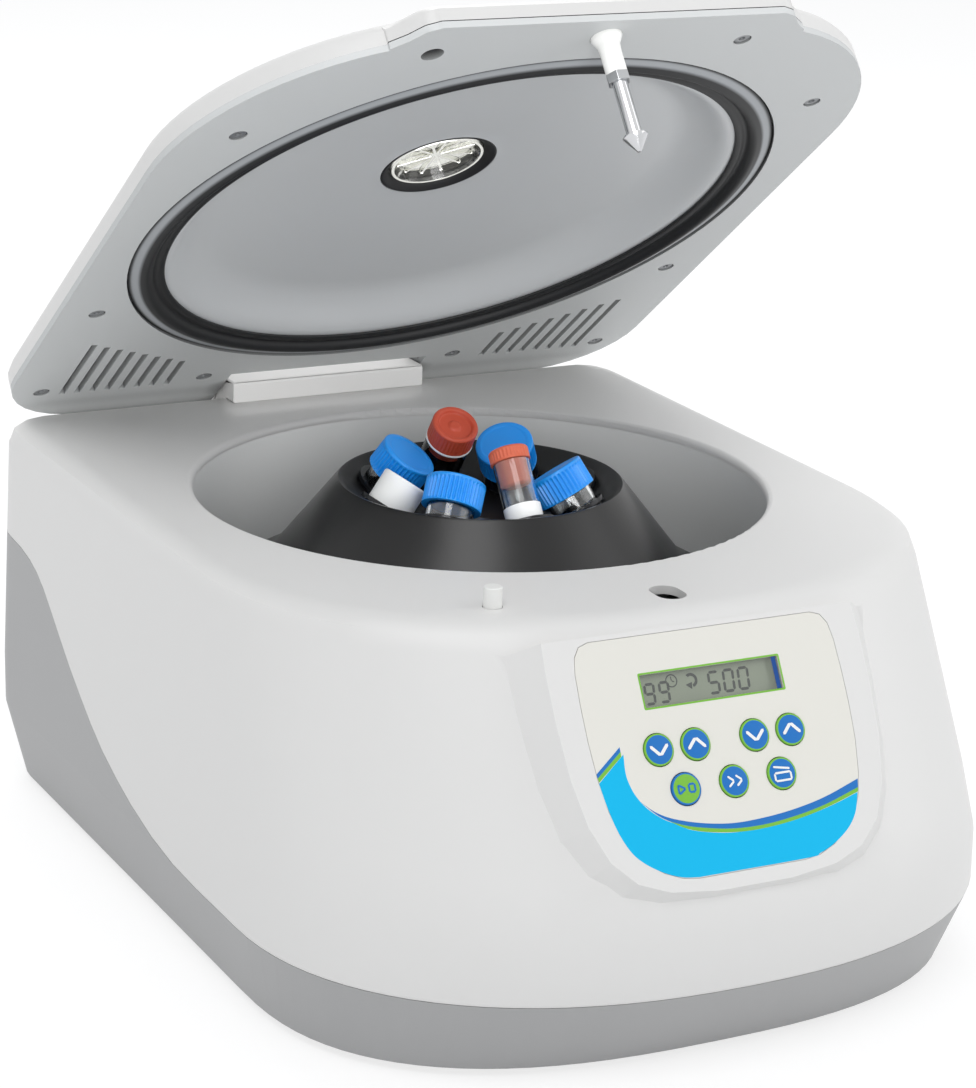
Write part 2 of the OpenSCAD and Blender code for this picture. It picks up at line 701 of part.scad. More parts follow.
module lid_switch() {
  color("black") deck_frame() translate([-lid_pin_left, -pin_front, 0]) {
    translate([-7, -3, -50]) cube([14, pin_front - striker_front + 19, 11]);
    translate([-2, -2, -39.1]) cube([4, 4, 1.6]);
  }
}

// A tube axis: children stand along it, their z axis pointing down the sleeve.
module tube_axis(i) {
  deck_frame() rotate([0, 0, i * 360 / places])
    translate([tube_start, 0, 2]) rotate([0, 180 - tube_lean, 0]) children();
}

module rotor_body() {
  r = rotor_radius;
  t = rim_radius;
  color("dimgray") difference() {
    deck_frame() difference() {
      rotate_extrude($fn = 120) polygon([[0, -27.5], [16, -27.5], [22, -19.25], [49.5, 0], [51, 1.4],
        [t - 0.8, 1.7], [t, 1], [t + 23.7, -28.4], [t + 29, -32.5],
         [r - 6, -38], [r - 1, -42], [r, -45], [r, -57],
        [r - 3, -63.5], [r - 7, -66], [48, -66], [44, -42], [18, -42], [18, -66], [0, -66]]);
      translate([0, 0, -80]) cylinder(h = 80, r = shaft_radius);
    }
    for (i = [0 : places - 1]) {
      tube_axis(i) translate([0, 0, mouth - 20])
        cylinder(h = sleeve_end + 20 - mouth + sleeve_gap, r = bore_radius);
    }
  }
}

module tube_sleeves() {
  i = sleeve_radius - 0.6;
  color("slategray") for (k = [0 : places - 1]) {
    tube_axis(k) rotate_extrude($fn = 48)
      polygon([[i, mouth - 2.7], [flange_radius, mouth - 2.7], [flange_radius, mouth - 1.1],
        [sleeve_radius, mouth - 1.1], [sleeve_radius, sleeve_end], [0, sleeve_end],
        [0, sleeve_in], [i - 2, sleeve_in], [i, sleeve_in - 2]]);
  }
}

module rotor_nut() {
  s = shaft_radius;
  color("silver") deck_frame() union() {
    difference() {
      translate([0, 0, -27.5]) linear_extrude(8) polygon(arc(0, 0, 10, 0, 300, 5));
      translate([0, 0, -28]) cylinder(h = 12, r = s);
    }
    rotate_extrude() polygon([[0, -19.5], [8.5, -19.5], [6.5, -15.5], [2, -14], [0, -14]]);
  }
}

module drive_shaft() {
  color("silver") deck_frame() rotate_extrude()
    polygon([[0, -20], [shaft_radius, -20], [shaft_radius, -66], [11, -66], [11, -70],
      [8, motor_top + 0.3], [0, motor_top + 0.3]]);
}

module motor_body() {
  color("gray") deck_frame() rotate_extrude()
    polygon([[0, motor_top - 0.3], [16, motor_top - 0.3], [16, motor_top - plate_thick],
      [motor_radius - 2, motor_top - plate_thick], [motor_radius, motor_top - plate_thick - 2],
      [motor_radius, motor_low + 6], [motor_radius - 6, motor_low], [0, motor_low]]);
}

module motor_plate() {
  color("silver") deck_frame() difference() {
    translate([-44, -44, motor_top - plate_thick]) cube([88, 88, plate_thick]);
    translate([0, 0, -200]) cylinder(h = 200, r = 16);
  }
}

module motor_isolators() {
  color("black") deck_frame() for (x = [-mount_spread, mount_spread], y = [-mount_spread, mount_spread]) {
    translate([x, y, motor_top - plate_thick - 12]) rotate_extrude()
      polygon([[0, 0], [7, 0], [6, 3], [5.5, 6], [6, 9], [7, 12], [0, 12]]);
  }
}

// Straight wall and round bottom of an open tube of radius t, from its mouth at depth a to depth b.
module open_tube(a, b, t) {
  w = tube_wall;
  rotate_extrude($fn = 48) polygon(concat([[t, a], [t, b - t]],
    arc(0, b - t, t, 0, 90, 8), [[0, b - w]], arc(0, b - t, t - w, 90, 0, 8), [[t - w, a]]));
}

// Straight wall and pointed bottom.
module cone_tube(a, b) {
  t = tube_radius;
  w = tube_wall;
  rotate_extrude($fn = 48) polygon([[t, a], [t, b - 18], [3, b], [0, b], [0, b - w],
    [3 - w * 0.5, b - w], [t - w, b - 18.3], [t - w, a]]);
}

// Ribbed screw cap: ribs round a closed cup.
module screw_cap(a, h, r) {
  difference() {
    translate([0, 0, a]) union() {
      linear_extrude(h) polygon([for (i = [0 : 71])
        let (q = i % 2 == 0 ? r : r - 0.55) [q * cos(i * 5), q * sin(i * 5)]]);
      translate([0, 0, -0.7]) cylinder(h = 1, r = r - 1);
    }
    translate([0, 0, a + 2]) cylinder(h = h, r = tube_radius + running);
  }
}

// Plain stopper over a tube's mouth.
module plain_cap(a, h, r) {
  rotate_extrude($fn = 48) polygon([[0, a + 0.8], [r - 2.4, a + 0.8], [r - 1.8, a],
    [r - 0.5, a], [r, a + 0.5],
    [r, a + h], [tube_radius + running, a + h], [tube_radius + running, a + 4], [0, a + 4]]);
}

// Stopper with a plug in the mouth of a tube of radius t.
module plug_stopper(a, r, t) {
  p = t - tube_wall - running;
  rotate_extrude($fn = 48) polygon([[0, a + 0.6], [r - 2, a + 0.6], [r - 1.4, a], [r - 0.5, a], [r, a + 0.5],
    [r, a + 5], [p, a + 5], [p - 0.4, a + 15], [0, a + 15]]);
}

module tube_one() { color("aliceblue") tube_axis(7) cone_tube(-4.6, tube_end); }
module tube_two() { color("aliceblue") tube_axis(1) cone_tube(-4.6, tube_end); }
module tube_three() { color("aliceblue") tube_axis(3) cone_tube(-4.6, tube_end); }
module tube_four() { color("aliceblue") tube_axis(5) cone_tube(-4.6, tube_end); }
module tube_five() { color("aliceblue") tube_axis(6) open_tube(-14.4, tube_end, narrow_radius); }
module tube_six() { color("aliceblue") tube_axis(2) open_tube(-14.2, tube_end, tube_radius); }
module tube_seven() { color("aliceblue") tube_axis(4) open_tube(1.5, tube_end, tube_radius); }
module cap_one() { color("dodgerblue") tube_axis(7) screw_cap(-7, 10.4, cap_radius); }
module cap_two() { color("dodgerblue") tube_axis(1) screw_cap(-7, 10.4, cap_radius); }
module cap_three() { color("dodgerblue") tube_axis(3) screw_cap(-7, 10.4, cap_radius); }
module cap_four() { color("dodgerblue") tube_axis(5) screw_cap(-7, 10.4, cap_radius); }
module cap_five() { color("coral") tube_axis(6) plug_stopper(-19.4, narrow_radius + 0.6, narrow_radius); }
module cap_six() { color("firebrick") tube_axis(2) plain_cap(-18.2, 15, tube_radius + 0.5); }
module cap_seven() { color("white") tube_axis(4) plain_cap(-2.5, 12, tube_radius + 0.3); }

module control_board() {
  color("darkgreen") deck_frame() translate([0, 0, board_z]) {
    translate([-68, -172, 0]) cube([136, 54, 1.6]);
    translate([-60, -160, 1.5]) cube([24, 30, 12]);
    translate([-24, -150, 1.5]) cube([14, 14, 3]);
    for (x = [4, 20, 36]) {
      translate([x, -140, 1.5]) cylinder(h = 18, r = 6);
    }
  }
}

module power_supply() {
  color("silver") deck_frame() translate([supply_x, 0, floor_top]) difference() {
    translate([0, -50, 0]) cube([58, 96, 40]);
    translate([2, -48, 1.5]) cube([54, 92, 45]);
    translate([3, -40, -1]) cube([6, 6, 6]);
  }
  color("darkgreen") deck_frame() translate([supply_x + 2, -48, floor_top + 1.4]) cube([54, 92, 26]);
}

module power_inlet() {
  color("black") deck_frame() translate([socket_x, wall_y, socket_z]) {
    difference() {
      union() {
        translate([-16.5, -0.7, -13]) cube([33, 1.6, 26]);
        translate([-13.8, -22, -10.3]) cube([27.6, 22, 20.6]);
      }
      translate([-11.8, -18, -8.3]) cube([23.6, 24, 16.6]);
    }
    for (p = [[-7, -1.5], [7, -1.5], [0, 2.5]]) {
      translate([p[0] - 1, -18.2, p[1] - 2]) cube([2, 15, 4]);
    }
  }
}

module switch_frame() {
  color("black") deck_frame() translate([switch_x, wall_y, socket_z]) difference() {
    union() {
      translate([-13, -0.7, -10.5]) cube([26, 1.6, 21]);
      translate([-10.5, -20, -7.3]) cube([21, 20, 14.6]);
    }
    translate([-9.3, -12, -6.1]) cube([18.6, 20, 12.2]);
    translate([-20, -5, 0]) rotate([0, 90, 0]) cylinder(h = 40, r = 1.3);
  }
}

// Rocker of the power switch, resting with its lower half pressed in.
module power_switch() {
  color("black") deck_frame() translate([switch_x, wall_y - 5, socket_z]) rotate([9, 0, 0]) union() {
    rotate([90, 0, 90]) translate([0, 0, -8.9]) linear_extrude(17.8)
      polygon([[-3.5, -2.5], [3.4, -5.3], [4.6, 0], [3.4, 5.3], [-3.5, 2.5]]);
    translate([-10.4, 0, 0]) rotate([0, 90, 0]) cylinder(h = 20.8, r = 1.25);
  }
}

module feet() {
  color("black") deck_frame() for (x = [-95, 95], y = [-110, 110]) {
    translate([x, y, -deck_height]) rotate_extrude()
      polygon([[0, 0], [foot_radius - 1, 0], [foot_radius, 1], [foot_radius - 0.6, foot_height],
        [3, foot_height], [3, foot_height + wall], [0, foot_height + wall]]);
  }
}

base_housing();
top_cover();
hinge_block();
chamber_bowl();
panel_overlay();
display_window();
display_module();
key_board();
key_time_down();
key_time_up();
key_speed_down();
key_speed_up();
key_start_stop();
key_quick();
key_open();
lid_cover();
lid_liner();
lid_seal();
lid_pan();
port_gasket();
sight_port();
lid_screws();
striker_sleeve();
striker_nut();
striker_rod();
hinge_pin();
latch_frame();
lock_slide();
lock_solenoid();
lid_pin();
lid_pin_spring();
lid_switch();
rotor_body();
tube_sleeves();
rotor_nut();
drive_shaft();
motor_body();
motor_plate();
motor_isolators();
tube_one();
tube_two();
tube_three();
tube_four();
tube_five();
tube_six();
tube_seven();
cap_one();
cap_two();
cap_three();
cap_four();
cap_five();
cap_six();
cap_seven();
control_board();
power_supply();
power_inlet();
power_switch();
switch_frame();
feet();
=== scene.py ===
# %% [markdown]
# # A small bench centrifuge
#
# The CAD model gives every solid piece at its real size. This script loads it as a fixed frame,
# gives each piece the finish of the real one, and adds what a CAD solid shows badly: ribbed caps,
# printed film, key faces, display figures, rolled sheet metal and rubber lips.
#
# Every new piece is a surface worked out with numpy. Lengths are written in millimetres about the
# rotor's axis at the height of the deck, and one function turns them into the frame's metres.

# %% Kit, frame and the CAD box
import json
import math

import bmesh
import bpy
import numpy as np
from mathutils import Matrix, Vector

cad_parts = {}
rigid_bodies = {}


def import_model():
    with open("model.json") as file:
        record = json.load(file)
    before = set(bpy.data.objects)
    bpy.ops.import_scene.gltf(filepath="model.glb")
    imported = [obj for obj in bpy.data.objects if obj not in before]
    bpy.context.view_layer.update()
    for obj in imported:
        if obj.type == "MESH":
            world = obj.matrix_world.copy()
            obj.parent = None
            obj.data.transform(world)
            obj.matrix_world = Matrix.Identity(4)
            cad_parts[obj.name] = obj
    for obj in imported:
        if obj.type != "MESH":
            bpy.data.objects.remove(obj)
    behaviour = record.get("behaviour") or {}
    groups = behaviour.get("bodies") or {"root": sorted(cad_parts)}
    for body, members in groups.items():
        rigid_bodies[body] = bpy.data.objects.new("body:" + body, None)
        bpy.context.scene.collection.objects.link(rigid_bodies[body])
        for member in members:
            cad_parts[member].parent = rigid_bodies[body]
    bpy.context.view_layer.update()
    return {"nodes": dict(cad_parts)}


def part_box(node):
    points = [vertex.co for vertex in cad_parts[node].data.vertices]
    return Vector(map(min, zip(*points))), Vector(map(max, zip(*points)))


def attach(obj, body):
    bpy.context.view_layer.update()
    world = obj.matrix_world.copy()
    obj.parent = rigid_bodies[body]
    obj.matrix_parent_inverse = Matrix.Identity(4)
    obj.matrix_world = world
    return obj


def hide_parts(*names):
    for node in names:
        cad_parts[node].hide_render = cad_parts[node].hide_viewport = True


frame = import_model()
nodes = frame["nodes"]

# %% [markdown]
# The deck is the flat top of the white housing, and the chamber bowl hangs from it on the rotor's
# axis. The bowl's box therefore gives both the axis and, with the housing's wall, the deck's height.

# %% Deck coordinates
HOUSING_WALL = 3.0
bowl_low, bowl_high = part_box("chamber_bowl")
AXIS_Y = 500 * (bowl_low.y + bowl_high.y)
DECK_Z = 1000 * bowl_high.z + HOUSING_WALL


def deck(x, y, z):
    """Deck millimetres to frame metres: shift to the rotor's axis and the deck's height, then divide by 1000."""
    x, y, z = np.broadcast_arrays(x, y, z)
    return np.stack([x, y + AXIS_Y, z + DECK_Z], axis=-1) / 1000


print("rotor axis at y", round(AXIS_Y, 2), "mm, deck at", round(DECK_Z, 2), "mm")

# %% [markdown]
# The key panel leans back from upright. A point on it is given by x to the right, s up the slope
# from the deck's edge (negative going down) and n out of the face.

# %% Panel coordinates
PANEL_LEAN = math.radians(30.25)
PANEL_EDGE_Y = -156.5


def panel(x, s, n):
    """Panel millimetres to frame metres: s runs along the leaning face and n along its outward normal."""
    y = PANEL_EDGE_Y + s * math.sin(PANEL_LEAN) - n * math.cos(PANEL_LEAN)
    z = s * math.cos(PANEL_LEAN) + n * math.sin(PANEL_LEAN)
    return deck(x, y, z)


# %% [markdown]
# The lid rests open. Its pieces are easier to describe as if it were shut, so one function turns
# shut-lid coordinates about the hinge pin to the open pose.

# %% Lid coordinates
pin_low, pin_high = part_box("hinge_pin")
HINGE_Y = 500 * (pin_low.y + pin_high.y) - AXIS_Y
HINGE_Z = 500 * (pin_low.z + pin_high.z) - DECK_Z
LID_OPEN = math.radians(37.25)


def lid(x, y, z):
    """Shut-lid millimetres to frame metres: turned backwards about the hinge pin by the open angle."""
    c, s = math.cos(LID_OPEN), math.sin(LID_OPEN)
    dy, dz = y - HINGE_Y, z - HINGE_Z
    return deck(x, HINGE_Y + dy * c + dz * s, HINGE_Z - dy * s + dz * c)


print("hinge pin at", round(HINGE_Y, 2), round(HINGE_Z, 2))

# %% [markdown]
# Eight places lean outwards, 35 degrees from upright. In place coordinates z runs down the sleeve
# and x points in and down, square to it.

# %% Tube place coordinates
TUBE_START, TUBE_LEAN = (31.6, 2.0), math.radians(35)
PLACES = {"one": 7, "two": 1, "three": 3, "four": 5, "five": 6, "six": 2, "seven": 4}


def place(index):
    """Returns a function from place millimetres to frame metres: tip by the lean, shift out, turn by the place."""
    turn = math.radians(45 * index)
    c, k = math.cos(TUBE_LEAN), math.sin(TUBE_LEAN)

    def to_frame(x, y, z):
        out = TUBE_START[0] + k * z - c * x
        up = TUBE_START[1] - c * z - k * x
        return deck(out * math.cos(turn) - y * math.sin(turn), out * math.sin(turn) + y * math.cos(turn), up)

    return to_frame


# %% [markdown]
# Two helpers make every new mesh. A grid of points becomes a skin, whose seams and poles are
# closed by merging points that fall together. Normals are then made to point outwards.

# %% Grids to meshes
def skin(name, grid, around=False):
    """Mesh from a grid of points: each cell is one face, and around joins the last column to the first."""
    rows, cols = grid.shape[:2]
    index = np.arange(rows * cols).reshape(rows, cols)
    if around:
        index = np.concatenate([index, index[:, :1]], axis=1)
    faces = np.stack([index[:-1, :-1], index[:-1, 1:], index[1:, 1:], index[1:, :-1]], axis=-1).reshape(-1, 4)
    mesh = bpy.data.meshes.new(name)
    mesh.from_pydata(grid.reshape(-1, 3), [], faces.tolist())
    clean(mesh)
    return mesh


def clean(mesh):
    """Merges points that fall together, drops flat slivers and turns the faces outwards."""
    work = bmesh.new()
    work.from_mesh(mesh)
    bmesh.ops.remove_doubles(work, verts=work.verts, dist=2e-6)
    bmesh.ops.dissolve_degenerate(work, edges=work.edges, dist=1e-7)
    bmesh.ops.recalc_face_normals(work, faces=work.faces)
    work.to_mesh(mesh)
    work.free()


def add_piece(mesh, material, body, replaces=(), angle=35):
    """Puts a finished mesh in the scene at the origin, riding on a body, with creases kept above an angle."""
    piece = bpy.data.objects.new(mesh.name, mesh)
    bpy.context.scene.collection.objects.link(piece)
    if not mesh.materials:
        mesh.materials.append(material)
    mesh.shade_smooth()
    split = piece.modifiers.new("crease", "EDGE_SPLIT")
    split.split_angle = math.radians(angle)
    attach(piece, body)
    if replaces:
        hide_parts(*replaces)
    return piece


# %% [markdown]
# A turned piece is a profile of radius and height carried round a circle. Corners of a drawn
# profile are rounded first, because no moulded or turned edge is perfectly sharp.

# %% Turned surfaces
def rounded(points, radius, steps=4):
    """Profile with each inner corner replaced by a quadratic curve that starts and ends radius from it."""
    points = np.asarray(points, float)
    out = [points[0]]
    t = np.linspace(0, 1, steps + 1)[:, None]
    for before, corner, after in zip(points[:-2], points[1:-1], points[2:]):
        a, b = before - corner, after - corner
        la, lb = np.linalg.norm(a), np.linalg.norm(b)
        start = corner + a * min(radius / la, 0.45)
        end = corner + b * min(radius / lb, 0.45)
        out.extend((1 - t) ** 2 * start + 2 * t * (1 - t) * corner + t ** 2 * end)
    out.append(points[-1])
    return np.array(out)


def turned(name, profile, to_frame, count=96, wave=None):
    """Surface of revolution: x is r cos a, y is r sin a, with wave(a, r, z) added to the radius for ribs."""
    angle = np.linspace(0, 2 * np.pi, count, endpoint=False)[None, :]
    r, z = profile[:, :1], profile[:, 1:]
    spread = r + (wave(angle, r, z) if wave else 0 * angle)
    return skin(name, to_frame(spread * np.cos(angle), spread * np.sin(angle), z + 0 * angle), around=True)


# %% [markdown]
# ## Finishes
#
# Colours are picked as sRGB hex values, and shaders work in linear light, so one function turns
# one into the other. A second small function adds a node with its settings and links.

# %% Colour and node helpers
def linear(hex_value):
    """sRGB hex to linear RGBA: divide by 12.92 near black, else raise (c + 0.055) / 1.055 to 2.4."""
    c = np.array([int(hex_value[i:i + 2], 16) for i in (1, 3, 5)]) / 255
    return (*np.where(c <= 0.04045, c / 12.92, ((c + 0.055) / 1.055) ** 2.4).tolist(), 1.0)


def add_node(tree, kind, values=None, links=None, **settings):
    """Adds one node: settings are its properties, values its input numbers, links its incoming sockets."""
    node = tree.nodes.new(kind)
    for key, value in settings.items():
        setattr(node, key, value)
    for key, value in (values or {}).items():
        node.inputs[key].default_value = value
    for key, socket in (links or {}).items():
        tree.links.new(socket, node.inputs[key])
    return node


def per_mm(size):
    """Texture scale that makes one pattern cell about size millimetres in a frame of metres."""
    return 1000 / size


# %% [markdown]
# Most of this machine is injection-moulded plastic. The mould is spark eroded, which leaves a fine
# even grain, and the pigment and gloss vary slightly over a large part. Grain of 0.3 mm would be
# too fine to see from a metre, so it is drawn a little coarser. The same recipe with other numbers
# serves enamel, rubber and anodised metal.

# %% Grained finish
def grained(name, hex_value, rough, grain=0.6, depth=0.02, drift=0.03, metallic=0.0, spread=0.06, **sockets):
    """A surface with slow drift of colour and gloss over 60 mm and a fine bump of the given grain, in mm."""
    material = bpy.data.materials.new(name)
    material.use_nodes = True
    tree = material.node_tree
    shader = tree.nodes["Principled BSDF"]
    where = add_node(tree, "ShaderNodeTexCoord")
    slow = add_node(tree, "ShaderNodeTexNoise", {"Scale": per_mm(60), "Detail": 3.0},
                    {"Vector": where.outputs["Object"]})
    fine = add_node(tree, "ShaderNodeTexNoise", {"Scale": per_mm(grain), "Detail": 2.0},
                    {"Vector": where.outputs["Object"]})
    base = linear(hex_value)
    tint = add_node(tree, "ShaderNodeMixRGB",
                    {"Color1": tuple(c * (1 - drift) for c in base[:3]) + (1,),
                     "Color2": tuple(min(1, c * (1 + drift)) for c in base[:3]) + (1,)},
                    {"Fac": slow.outputs["Fac"]})
    gloss = add_node(tree, "ShaderNodeMapRange", {"To Min": rough - spread, "To Max": rough + spread},
                     {"Value": slow.outputs["Fac"]})
    bump = add_node(tree, "ShaderNodeBump", {"Strength": 0.35, "Distance": depth / 1000},
                    {"Height": fine.outputs["Fac"]})
    tree.links.new(tint.outputs["Color"], shader.inputs["Base Color"])
    tree.links.new(gloss.outputs["Result"], shader.inputs["Roughness"])
    tree.links.new(bump.outputs["Normal"], shader.inputs["Normal"])
    shader.inputs["Metallic"].default_value = metallic
    for key, value in sockets.items():
        shader.inputs[key.replace("_", " ")].default_value = value
    return material


# %% [markdown]
# The vent slots in the lid look into a closed hollow, whose shade is painted into the colour. An ambient occlusion
# node tells how much of a point's sky is covered within a given reach, and takes the colour down where nearly
# all of it is. This darkening is painted shade.

# %% Painted shade in hollows
def paint_shade_in_hollows(material, reach, left):
    """Painted shade: multiply the base colour by left where under 0.2 of the sky is open, and by 1 above 0.7."""
    tree = material.node_tree
    base = tree.nodes["Principled BSDF"].inputs["Base Color"]
    tint = base.links[0].from_socket
    sky = add_node(tree, "ShaderNodeAmbientOcclusion", {"Distance": reach / 1000})
    share = add_node(tree, "ShaderNodeMapRange", {"From Min": 0.2, "From Max": 0.7, "To Min": left, "To Max": 1.0},
                     {"Value": sky.outputs["AO"]})
    darker = add_node(tree, "ShaderNodeVectorMath", links={0: tint, 1: share.outputs["Result"]})
    darker.operation = "MULTIPLY"
    tree.links.new(darker.outputs["Vector"], base)


# %% [markdown]
# White ABS for the shells has a soft satin shine. The base is the same plastic in grey with a
# coarser grain, and the lid's underside plate is duller still.

# %% Shell plastics
white_abs = grained("moulded_white_abs", "#E5E4E2", 0.42, grain=0.8, depth=0.02, drift=0.012)
grey_abs = grained("moulded_grey_abs", "#AEAEAE", 0.5, grain=1.0, depth=0.04, drift=0.02)
lid_abs_painted_shade = grained("moulded_white_lid_abs", "#E5E4E2", 0.42, grain=0.8, depth=0.02, drift=0.012)
liner_abs_painted_shade = grained("moulded_liner_abs", "#C0C2C2", 0.52, grain=1.0, depth=0.03, drift=0.015)
# The lid's cover and underside plate get painted shade in their slots and hollows.
paint_shade_in_hollows(lid_abs_painted_shade, 30, 0.08)
paint_shade_in_hollows(liner_abs_painted_shade, 9, 0.1)
acetal = grained("moulded_white_acetal", "#F1F1EE", 0.35, grain=0.7, depth=0.01, drift=0.01)
black_nylon = grained("moulded_black_nylon", "#202124", 0.48, grain=0.7, depth=0.03, drift=0.05)

# %% [markdown]
# The chamber bowl and the lid's pan are pressed sheet with a baked enamel, smoother and slightly
# glossier than the plastic. Enamel flows a little before it sets, hence a long low ripple.

# %% Enamels
bowl_enamel = grained("baked_bowl_enamel", "#D6D7D6", 0.36, grain=3.0, depth=0.03, drift=0.01)
pan_enamel = grained("baked_pan_enamel", "#C6C8C9", 0.33, grain=4.0, depth=0.03, drift=0.012)
motor_enamel = grained("baked_motor_enamel", "#3A3C40", 0.4, grain=2.0, depth=0.05, drift=0.04)

# %% [markdown]
# Rubber scatters light widely and has no coat. The seal is a dark grey extrusion whose lit outer lip gets a
# painted highlight, a paler grey taken from an attribute stored on its mesh.

# %% Rubbers
black_rubber = grained("moulded_black_rubber", "#19191B", 0.62, grain=0.9, depth=0.05, drift=0.08)


def seal_rubber_material():
    """Rubber whose colour runs from near black to a paler grey by a mesh attribute; the paler grey is a painted
    highlight on the lit outer lip.
    """
    material = grained("extruded_seal_rubber", "#2B2C2F", 0.55, grain=0.8, depth=0.03, drift=0.05)
    tree = material.node_tree
    tone = add_node(tree, "ShaderNodeAttribute", attribute_name="tone")
    ramp = add_node(tree, "ShaderNodeValToRGB", links={"Fac": tone.outputs["Fac"]})
    ramp.color_ramp.elements[0].color = linear("#17181A")
    ramp.color_ramp.elements[1].color = linear("#9B9EA1")
    tree.links.new(ramp.outputs["Color"], tree.nodes["Principled BSDF"].inputs["Base Color"])
    return material


seal_rubber = seal_rubber_material()

# %% [markdown]
# The rotor is machined aluminium with a black anodised skin. Blasting before the anodising leaves
# it satin with a very fine sparkle. Steel and brass fittings are bare metal, brushed or polished.

# %% Metals
black_anodised = grained("blasted_black_anodised_aluminium", "#0F0F10", 0.32, grain=1.0, depth=0.06,
                         drift=0.1, metallic=0.2, spread=0.05)
dark_sleeve = grained("glossy_black_anodised_sleeve", "#15171B", 0.16, grain=2.0, depth=0.01, drift=0.05,
                      metallic=0.3, spread=0.03)
zinc_steel = grained("zinc_plated_steel", "#B7B9BB", 0.32, grain=1.5, depth=0.02, drift=0.04, metallic=1.0)
screw_steel = grained("nickel_plated_screw_steel", "#8D8F91", 0.38, grain=1.5, depth=0.02, drift=0.04, metallic=0.5)
polished_steel = grained("polished_steel", "#D2D3D5", 0.12, grain=3.0, depth=0.004, drift=0.01,
                         metallic=1.0, spread=0.03)
turned_brass = grained("turned_brass", "#B58A3C", 0.28, grain=1.0, depth=0.01, drift=0.03, metallic=1.0)
board_laminate = grained("green_circuit_laminate", "#2C6843", 0.4, grain=2.0, depth=0.01, drift=0.06)

# %% [markdown]
# Caps are polypropylene, dyed through and a little waxy: a low sheen and some light that enters
# and comes out again. Stoppers are softer and duller.

# %% Cap plastics
WAXY = {"Subsurface_Weight": 0.12, "Subsurface_Radius": (0.002, 0.002, 0.003), "Subsurface_Scale": 0.5}
blue_cap = grained("moulded_blue_polypropylene", "#1890E8", 0.34, grain=0.9, depth=0.02, drift=0.03, **WAXY)
orange_stopper = grained("moulded_orange_stopper", "#CC6143", 0.5, grain=0.8, depth=0.05, drift=0.06, **WAXY)
brick_stopper = grained("moulded_brick_stopper", "#B9482F", 0.5, grain=0.8, depth=0.05, drift=0.06, **WAXY)
white_stopper = grained("moulded_white_stopper", "#F3F4F4", 0.55, grain=0.8, depth=0.02, drift=0.01, **WAXY)

# %% [markdown]
# Clear tubes and the sight port are moulded polystyrene. Their walls are modelled, so a real glass
# shader with the plastic's IOR bends light at both faces. Windows over the display are thin films,
# where a mix of clear and glossy is enough and keeps the figures behind them crisp.

# %% Clear plastics
def clear_plastic(name, hex_value, rough, ior):
    """Transmitting plastic with a slight haze that comes from a slow noise in its roughness."""
    material = bpy.data.materials.new(name)
    material.use_nodes = True
    tree = material.node_tree
    shader = tree.nodes["Principled BSDF"]
    shader.inputs["Base Color"].default_value = linear(hex_value)
    shader.inputs["Transmission Weight"].default_value = 1.0
    shader.inputs["IOR"].default_value = ior
    where = add_node(tree, "ShaderNodeTexCoord")
    haze = add_node(tree, "ShaderNodeTexNoise", {"Scale": per_mm(12)}, {"Vector": where.outputs["Object"]})
    gloss = add_node(tree, "ShaderNodeMapRange", {"To Min": rough * 0.5, "To Max": rough * 1.5},
                     {"Value": haze.outputs["Fac"]})
    tree.links.new(gloss.outputs["Result"], shader.inputs["Roughness"])
    return material


def thin_film(name, hex_value, clear_share):
    """Clear film: most light passes straight through and the rest is reflected by a smooth coat."""
    material = bpy.data.materials.new(name)
    material.use_nodes = True
    tree = material.node_tree
    shader = tree.nodes["Principled BSDF"]
    shader.inputs["Base Color"].default_value = linear(hex_value)
    shader.inputs["Roughness"].default_value = 0.08
    shader.inputs["Alpha"].default_value = 1 - clear_share
    return material


clear_styrene = clear_plastic("moulded_clear_polystyrene", "#F6F9FA", 0.05, 1.59)
port_acrylic = clear_plastic("moulded_clear_acrylic", "#F1F1EB", 0.1, 1.49)
window_film = thin_film("clear_window_film", "#DDE3DC", 0.88)

# %% [markdown]
# The film over the key panel is screen printed on the back of a matt sheet. Each ink is its own
# flat shape, a few hundredths of a millimetre proud, as print edges are crisp at any distance.

# %% Inks and display colours
MATT = {"Specular_IOR_Level": 0.22}
cream_film = grained("printed_cream_film", "#E9E7DF", 0.45, grain=0.5, depth=0.01, drift=0.008, **MATT)
cyan_ink = grained("printed_cyan_ink", "#00BDF0", 0.45, grain=0.5, depth=0.01, drift=0.01, **MATT)
blue_ink = grained("printed_blue_ink", "#2676C4", 0.42, grain=0.5, depth=0.01, drift=0.01, **MATT)
green_ink = grained("printed_green_ink", "#7FC145", 0.42, grain=0.5, depth=0.01, drift=0.01, **MATT)
white_ink = grained("printed_white_ink", "#F6F7F6", 0.45, grain=0.5, depth=0.01, drift=0.01, **MATT)
navy_ink = grained("printed_navy_ink", "#1B4C93", 0.42, grain=0.5, depth=0.01, drift=0.01, **MATT)
display_grey = grained("liquid_crystal_glass", "#8A927F", 0.25, grain=3.0, depth=0.002, drift=0.05)
display_dark = grained("liquid_crystal_segment", "#171B17", 0.3, grain=2.0, depth=0.002, drift=0.03)

# %% [markdown]
# ## Dressing the CAD nodes
#
# A CAD node keeps its shape. Modifiers weld its loose triangles, give its hard edges the small radius
# that every moulded or sawn edge has, and weight its normals by face area, so flat faces stay flat
# and only the narrow radius catches the light.

